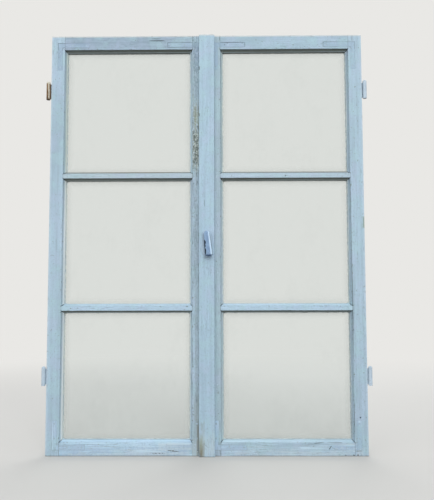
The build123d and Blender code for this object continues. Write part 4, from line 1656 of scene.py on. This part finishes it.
@dataclass
class RightLeaf(Leaf):
    """The right leaf, which carries the strip, with open bracket edges and splits at its foot."""

    side: str = "right"
    screw_seed: int = 8
    bracket_tones: tuple[Colour, Colour] = (tint(172, 198, 217), tint(150, 174, 193))

    def upper_hinge_finish(self) -> Finish:
        """Paint, with more painted shade in the gap than at the lower hinge."""
        return PaintedIron("upper_hinge_paint", self.layout.edge, 0.5, *self.hinge_tones)

    def top_marks(self) -> Marks:
        """The open edges of the inner bracket, and no patches."""
        return self.bracket_gaps(), ()

    def foot_marks(self) -> Marks:
        """Splits at the end of the outer bracket, and no patches.

        Returns:
            The splits and no patches.
        """
        return (
            Crack((0.4255, 0.0240), (0.4275, 0.0320), 1.8 * MM),
            Crack((0.4275, 0.0320), (0.4330, 0.0345), 1.3 * MM, 0.8),
            Crack((0.4340, 0.0270), (0.4560, 0.0235), 0.8 * MM, 0.5),
        ), ()

    def bracket_gaps(self) -> tuple[Crack, ...]:
        """The open edges of the top bracket beside the strip.

        Returns:
            The gaps.
        """
        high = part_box("right_top_inner_bracket")[1]
        under = high.z - self.layout.brackets.arm_width
        return (
            Crack((0.050, high.z), (high.x, high.z), 1.2 * MM, 0.7),
            Crack((high.x, high.z), (high.x, under), 1.1 * MM, 0.6),
            Crack((0.060, under), (high.x, under), 1.0 * MM, 0.45),
            Crack((0.0660, high.z - 6 * MM), (0.0665, high.z - 11 * MM), 1.8 * MM, 0.4),
        )

    def members(self) -> dict[str, PaintedTimber]:
        """Splits in the bottom rail and marks at the foot of the hinge stile.

        Returns:
            The paints by the member's name.
        """
        return {
            "meeting_stile": PaintedTimber(
                "right_meeting_paint", Grain.UPRIGHT, self.layout, tint(177, 200, 212), tint(158, 179, 190),
                cove_dirt_and_shade=0.9, cove_shade=tint(150, 162, 156), low_cove_shade=tint(190, 204, 208),
                cracks=(
                    Crack((0.0500, 1.4925), (0.0500, 1.4760), 1.2 * MM, 0.9),
                    Crack((0.0470, 0.0200), (0.0470, 0.0050), 0.9 * MM, 0.6),
                )),
            "top_rail": PaintedTimber(
                "right_top_paint", Grain.ACROSS, self.layout, tint(176, 203, 219), tint(154, 178, 193),
                cracks=self.bracket_gaps()),
            "bottom_rail": PaintedTimber(
                "right_bottom_paint", Grain.ACROSS, self.layout, tint(186, 211, 227), tint(160, 184, 200),
                # The first colour on the next line is the painted light on the rail's ledges.
                tint(180, 206, 221), wear=0.2, crazing=0.4, pale_streaks=0.5, outlines=0.7,
                patches=(
                    Patch((0.100, 0.003), (0.500, 0.010), tint(202, 216, 224), 9 * MM, strength=0.55),
                    Patch((0.430, 0.010), (0.506, 0.032), tint(196, 212, 222), 12 * MM, strength=0.5),
                ),
                cracks=(
                    Crack((0.370, 0.0430), (0.409, 0.0475), 1.3 * MM, 0.9),
                    Crack((0.409, 0.0475), (0.470, 0.0460), 1.3 * MM, 0.9),
                    Crack((0.508, 0.0010), (0.508, 0.0060), 2.2 * MM),
                )),
            "hinge_stile": PaintedTimber(
                "right_hinge_paint", Grain.UPRIGHT, self.layout, wear=0.7,
                cove_dirt_and_shade=0.75, cove_shade=tint(122, 136, 144), low_cove_shade=tint(122, 136, 144),
                patches=(
                    Patch((0.520, 0.002), (0.545, 0.022), tint(200, 214, 224), 12 * MM, strength=0.5),
                    Patch((0.5540, 0.793), (0.5640, 0.832), tint(138, 156, 146), 6 * MM, 1.5, 4 * MM, 0.9),
                ),
                cracks=(
                    Crack((0.5275, 0.022), (0.5275, 0.031), 1.4 * MM),
                    Crack((0.515, 0.0170), (0.537, 0.0175), 0.9 * MM, 0.8),
                    Crack((0.522, 0.0010), (0.522, 0.0060), 2.0 * MM),
                    Crack((0.528, 1.4920), (0.528, 1.4700), 0.8 * MM, 0.6),
                    Crack((0.5135, 0.1900), (0.5130, 0.0560), 1.2 * MM, 0.7),
                    Crack((0.5128, 0.9500), (0.5134, 0.3300), 1.3 * MM, 0.65),
                    Crack((0.5125, 0.4380), (0.5125, 0.4280), 2.8 * MM, 0.8),
                )),
            "upper_bar": PaintedTimber(
                "right_bar_paint", Grain.ACROSS, self.layout, tint(190, 212, 226), tint(170, 190, 203),
                dusty_top=0.9,
                cracks=(Crack((0.2805, 0.9800), (0.2845, 0.9800), 1.8 * MM),)),
        }


@dataclass
class CoverStrip:
    """The strip that covers the gap between the leaves, with its nails."""

    layout: Layout

    def dress(self) -> None:
        """Puts the brightest and cleanest paint on the strip."""
        paint = PaintedTimber(
            "strip_paint", Grain.UPRIGHT, self.layout, clean=tint(179, 207, 225), dull=tint(163, 188, 205),
            wear=0.2, outlines=0.0,
            patches=(
                Patch((-0.024, 0.000), (0.028, 0.070), tint(190, 208, 216), 20 * MM, 0.4, 12 * MM, 0.6),
                Patch((-0.030, -0.010), (-0.012, 0.034), tint(112, 100, 78), 4 * MM, 0.3, 10 * MM, 0.9),
                Patch((-0.030, 0.016), (-0.014, 0.066), tint(140, 142, 114), 4 * MM, 0.3, 10 * MM, 0.75),
                Patch((-0.023, 0.090), (-0.008, 0.116), tint(140, 148, 140), 18 * MM, 1.0, 8 * MM, 0.4),
                Patch((-0.0265, 1.364), (-0.0235, 1.376), tint(84, 92, 96), 2 * MM, 1.0, 1 * MM),
                Patch((-0.0265, 1.194), (-0.0240, 1.204), tint(96, 104, 104), 2 * MM, 1.0, 1 * MM),
            ),
            cracks=(
                Crack((-0.0108, 0.0468), (0.0065, 0.0312), 0.8 * MM, 0.5),
                # Painted shade: a faint dark line down the strip's right edge, where it meets the right
                # stile.
                Crack((0.0290, 1.4900), (0.0290, 0.0040), 1.5 * MM, 0.28),
                Crack((-0.0074, 0.8930), (-0.0068, 0.8660), 1.1 * MM, 0.5),
            ))
        paint.dress("cover_strip")
        PAINTED_IRON.dress("strip_nails")
        log.info("cover strip dressed")


@dataclass
class Handle:
    """The lever with its plate, spindle and pin."""

    lean: float = math.radians(6.0)

    def dress(self) -> None:
        """Puts metal on the lever and paint on the plate."""
        low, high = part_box("handle_spindle")
        axis_x, axis_z = (low.x + high.x) / 2, (low.z + high.z) / 2
        length = (axis_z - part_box("handle_lever")[0].z) / math.cos(self.lean)
        plate = PaintedIron("plate_paint", clean=tint(180, 202, 220), dull=tint(160, 182, 200), rust=0.0)
        WornLever("worn_lever", axis_x, axis_z, self.lean, length).dress("handle_lever")
        plate.dress("handle_plate")
        PAINTED_IRON.dress("plate_screws")
        PLAIN_STEEL.dress("handle_spindle", "lever_cross_pin")
        log.info("handle dressed")


@dataclass
class Lock:
    """The gear case, pinion and rods behind the strip."""

    def dress(self) -> None:
        """Puts bare iron on the case and rods, and steel on the screws."""
        BARE_IRON.dress("gear_case", "case_cover", "drive_pinion", "upper_rod", "lower_rod",
                        "upper_rod_guides", "lower_rod_guides")
        PLAIN_STEEL.dress("case_screws")
        log.info("lock dressed")


@dataclass
class Studio:
    """Pale floor, soft light and the camera where the photograph was taken."""

    background: Colour = tint(233, 232, 229)
    floor_shade: Colour = tint(205, 204, 201)
    floor_half: float = 9.0
    world_light: float = 1.0
    camera_place: tuple[float, float, float] = (0.0556, -2.1384, 0.5648)
    camera_pitch: float = math.radians(4.04)
    camera_yaw: float = math.radians(0.49)
    camera_roll: float = math.radians(-0.13)
    lens: float = 43.2
    sensor_width: float = 36.0
    middle_height: float = 0.75
    sky_tint: Colour = (0.97, 0.985, 1.0, 1.0)

    def build(self) -> None:
        """Makes the studio."""
        self.floor()
        self.world()
        self.lamp("key_light", (1.0, -6.9, 3.6), 4.0, 268.0)
        self.lamp("fill_light", (-3.4, -4.4, 1.2), 3.4, 42.0)
        self.lamp("back_light", (0.6, 2.8, 2.6), 2.4, 40.0)
        self.camera()
        view = bpy.context.scene.view_settings
        view.view_transform = "Standard"
        log.info("studio built")

    def floor(self) -> None:
        """Makes the floor, just under the doors."""
        mesh = bpy.data.meshes.new("floor")
        half, level = self.floor_half, -0.2 * MM
        corners = [(-half, -half, level), (half, -half, level), (half, half, level), (-half, half, level)]
        mesh.from_pydata(corners, [], [(0, 1, 2, 3)])
        mesh.materials.append(PlainFloor("pale_floor", self.floor_shade, self.background).material())
        add_object("floor", mesh)

    def world(self) -> None:
        """Makes a world that lights the doors softly and shows as a pale background."""
        world = bpy.data.worlds.new("soft_world")
        bpy.context.scene.world = world
        world.use_nodes = True
        world.node_tree.nodes.clear()
        tree = Tree(world.node_tree)
        climb = tree.split(tree.add("ShaderNodeTexCoord", output="Generated"))[2]
        light = tree.add("ShaderNodeBackground", {}, {
            "Color": self.sky_tint, "Strength": self.world_light * (0.5 + 0.5 * climb)})
        pale = tree.add("ShaderNodeBackground", {}, {"Color": self.background, "Strength": 1.0})
        shown = tree.mix(tree.seen_directly(), light, pale)
        tree.add("ShaderNodeOutputWorld", {}, {"Surface": shown})

    def lamp(self, name: str, place: tuple[float, float, float], side: float, power: float) -> None:
        """Makes one large soft lamp that looks at the middle of the doors and isn't mirrored in the glass.

        Args:
            name: The lamp's name.
            place: Where it hangs.
            side: Length of its square side.
            power: Watts.
        """
        data = bpy.data.lights.new(name, "AREA")
        data.size = side
        data.energy = power
        lamp = add_object(name, data)
        lamp.visible_glossy = False
        aim = Vector((0.0, 0.0, self.middle_height)) - Vector(place)
        lamp.matrix_world = Matrix.Translation(place) @ aim.to_track_quat("-Z", "Y").to_matrix().to_4x4()

    def camera(self) -> None:
        """Makes the camera."""
        data = bpy.data.cameras.new("camera")
        data.lens = self.lens
        data.sensor_width = self.sensor_width
        camera = add_object("camera", data)
        turn = Matrix.Rotation(self.camera_yaw, 4, "Z")
        tilt = Matrix.Rotation(math.pi / 2 + self.camera_pitch, 4, "X")
        roll = Matrix.Rotation(self.camera_roll, 4, "Z")
        camera.matrix_world = Matrix.Translation(self.camera_place) @ turn @ tilt @ roll
        bpy.context.scene.camera = camera


def main() -> None:
    """Builds the doors' looks and the studio."""
    logging.basicConfig(level=logging.INFO, format="%(message)s")
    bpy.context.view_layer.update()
    layout = Layout.from_frame()
    for piece in (LeftLeaf(layout), RightLeaf(layout), CoverStrip(layout), Handle(), Lock()):
        piece.dress()
    PaintFlakes(layout.front).build()
    Studio().build()


if __name__ == "__main__":
    main()
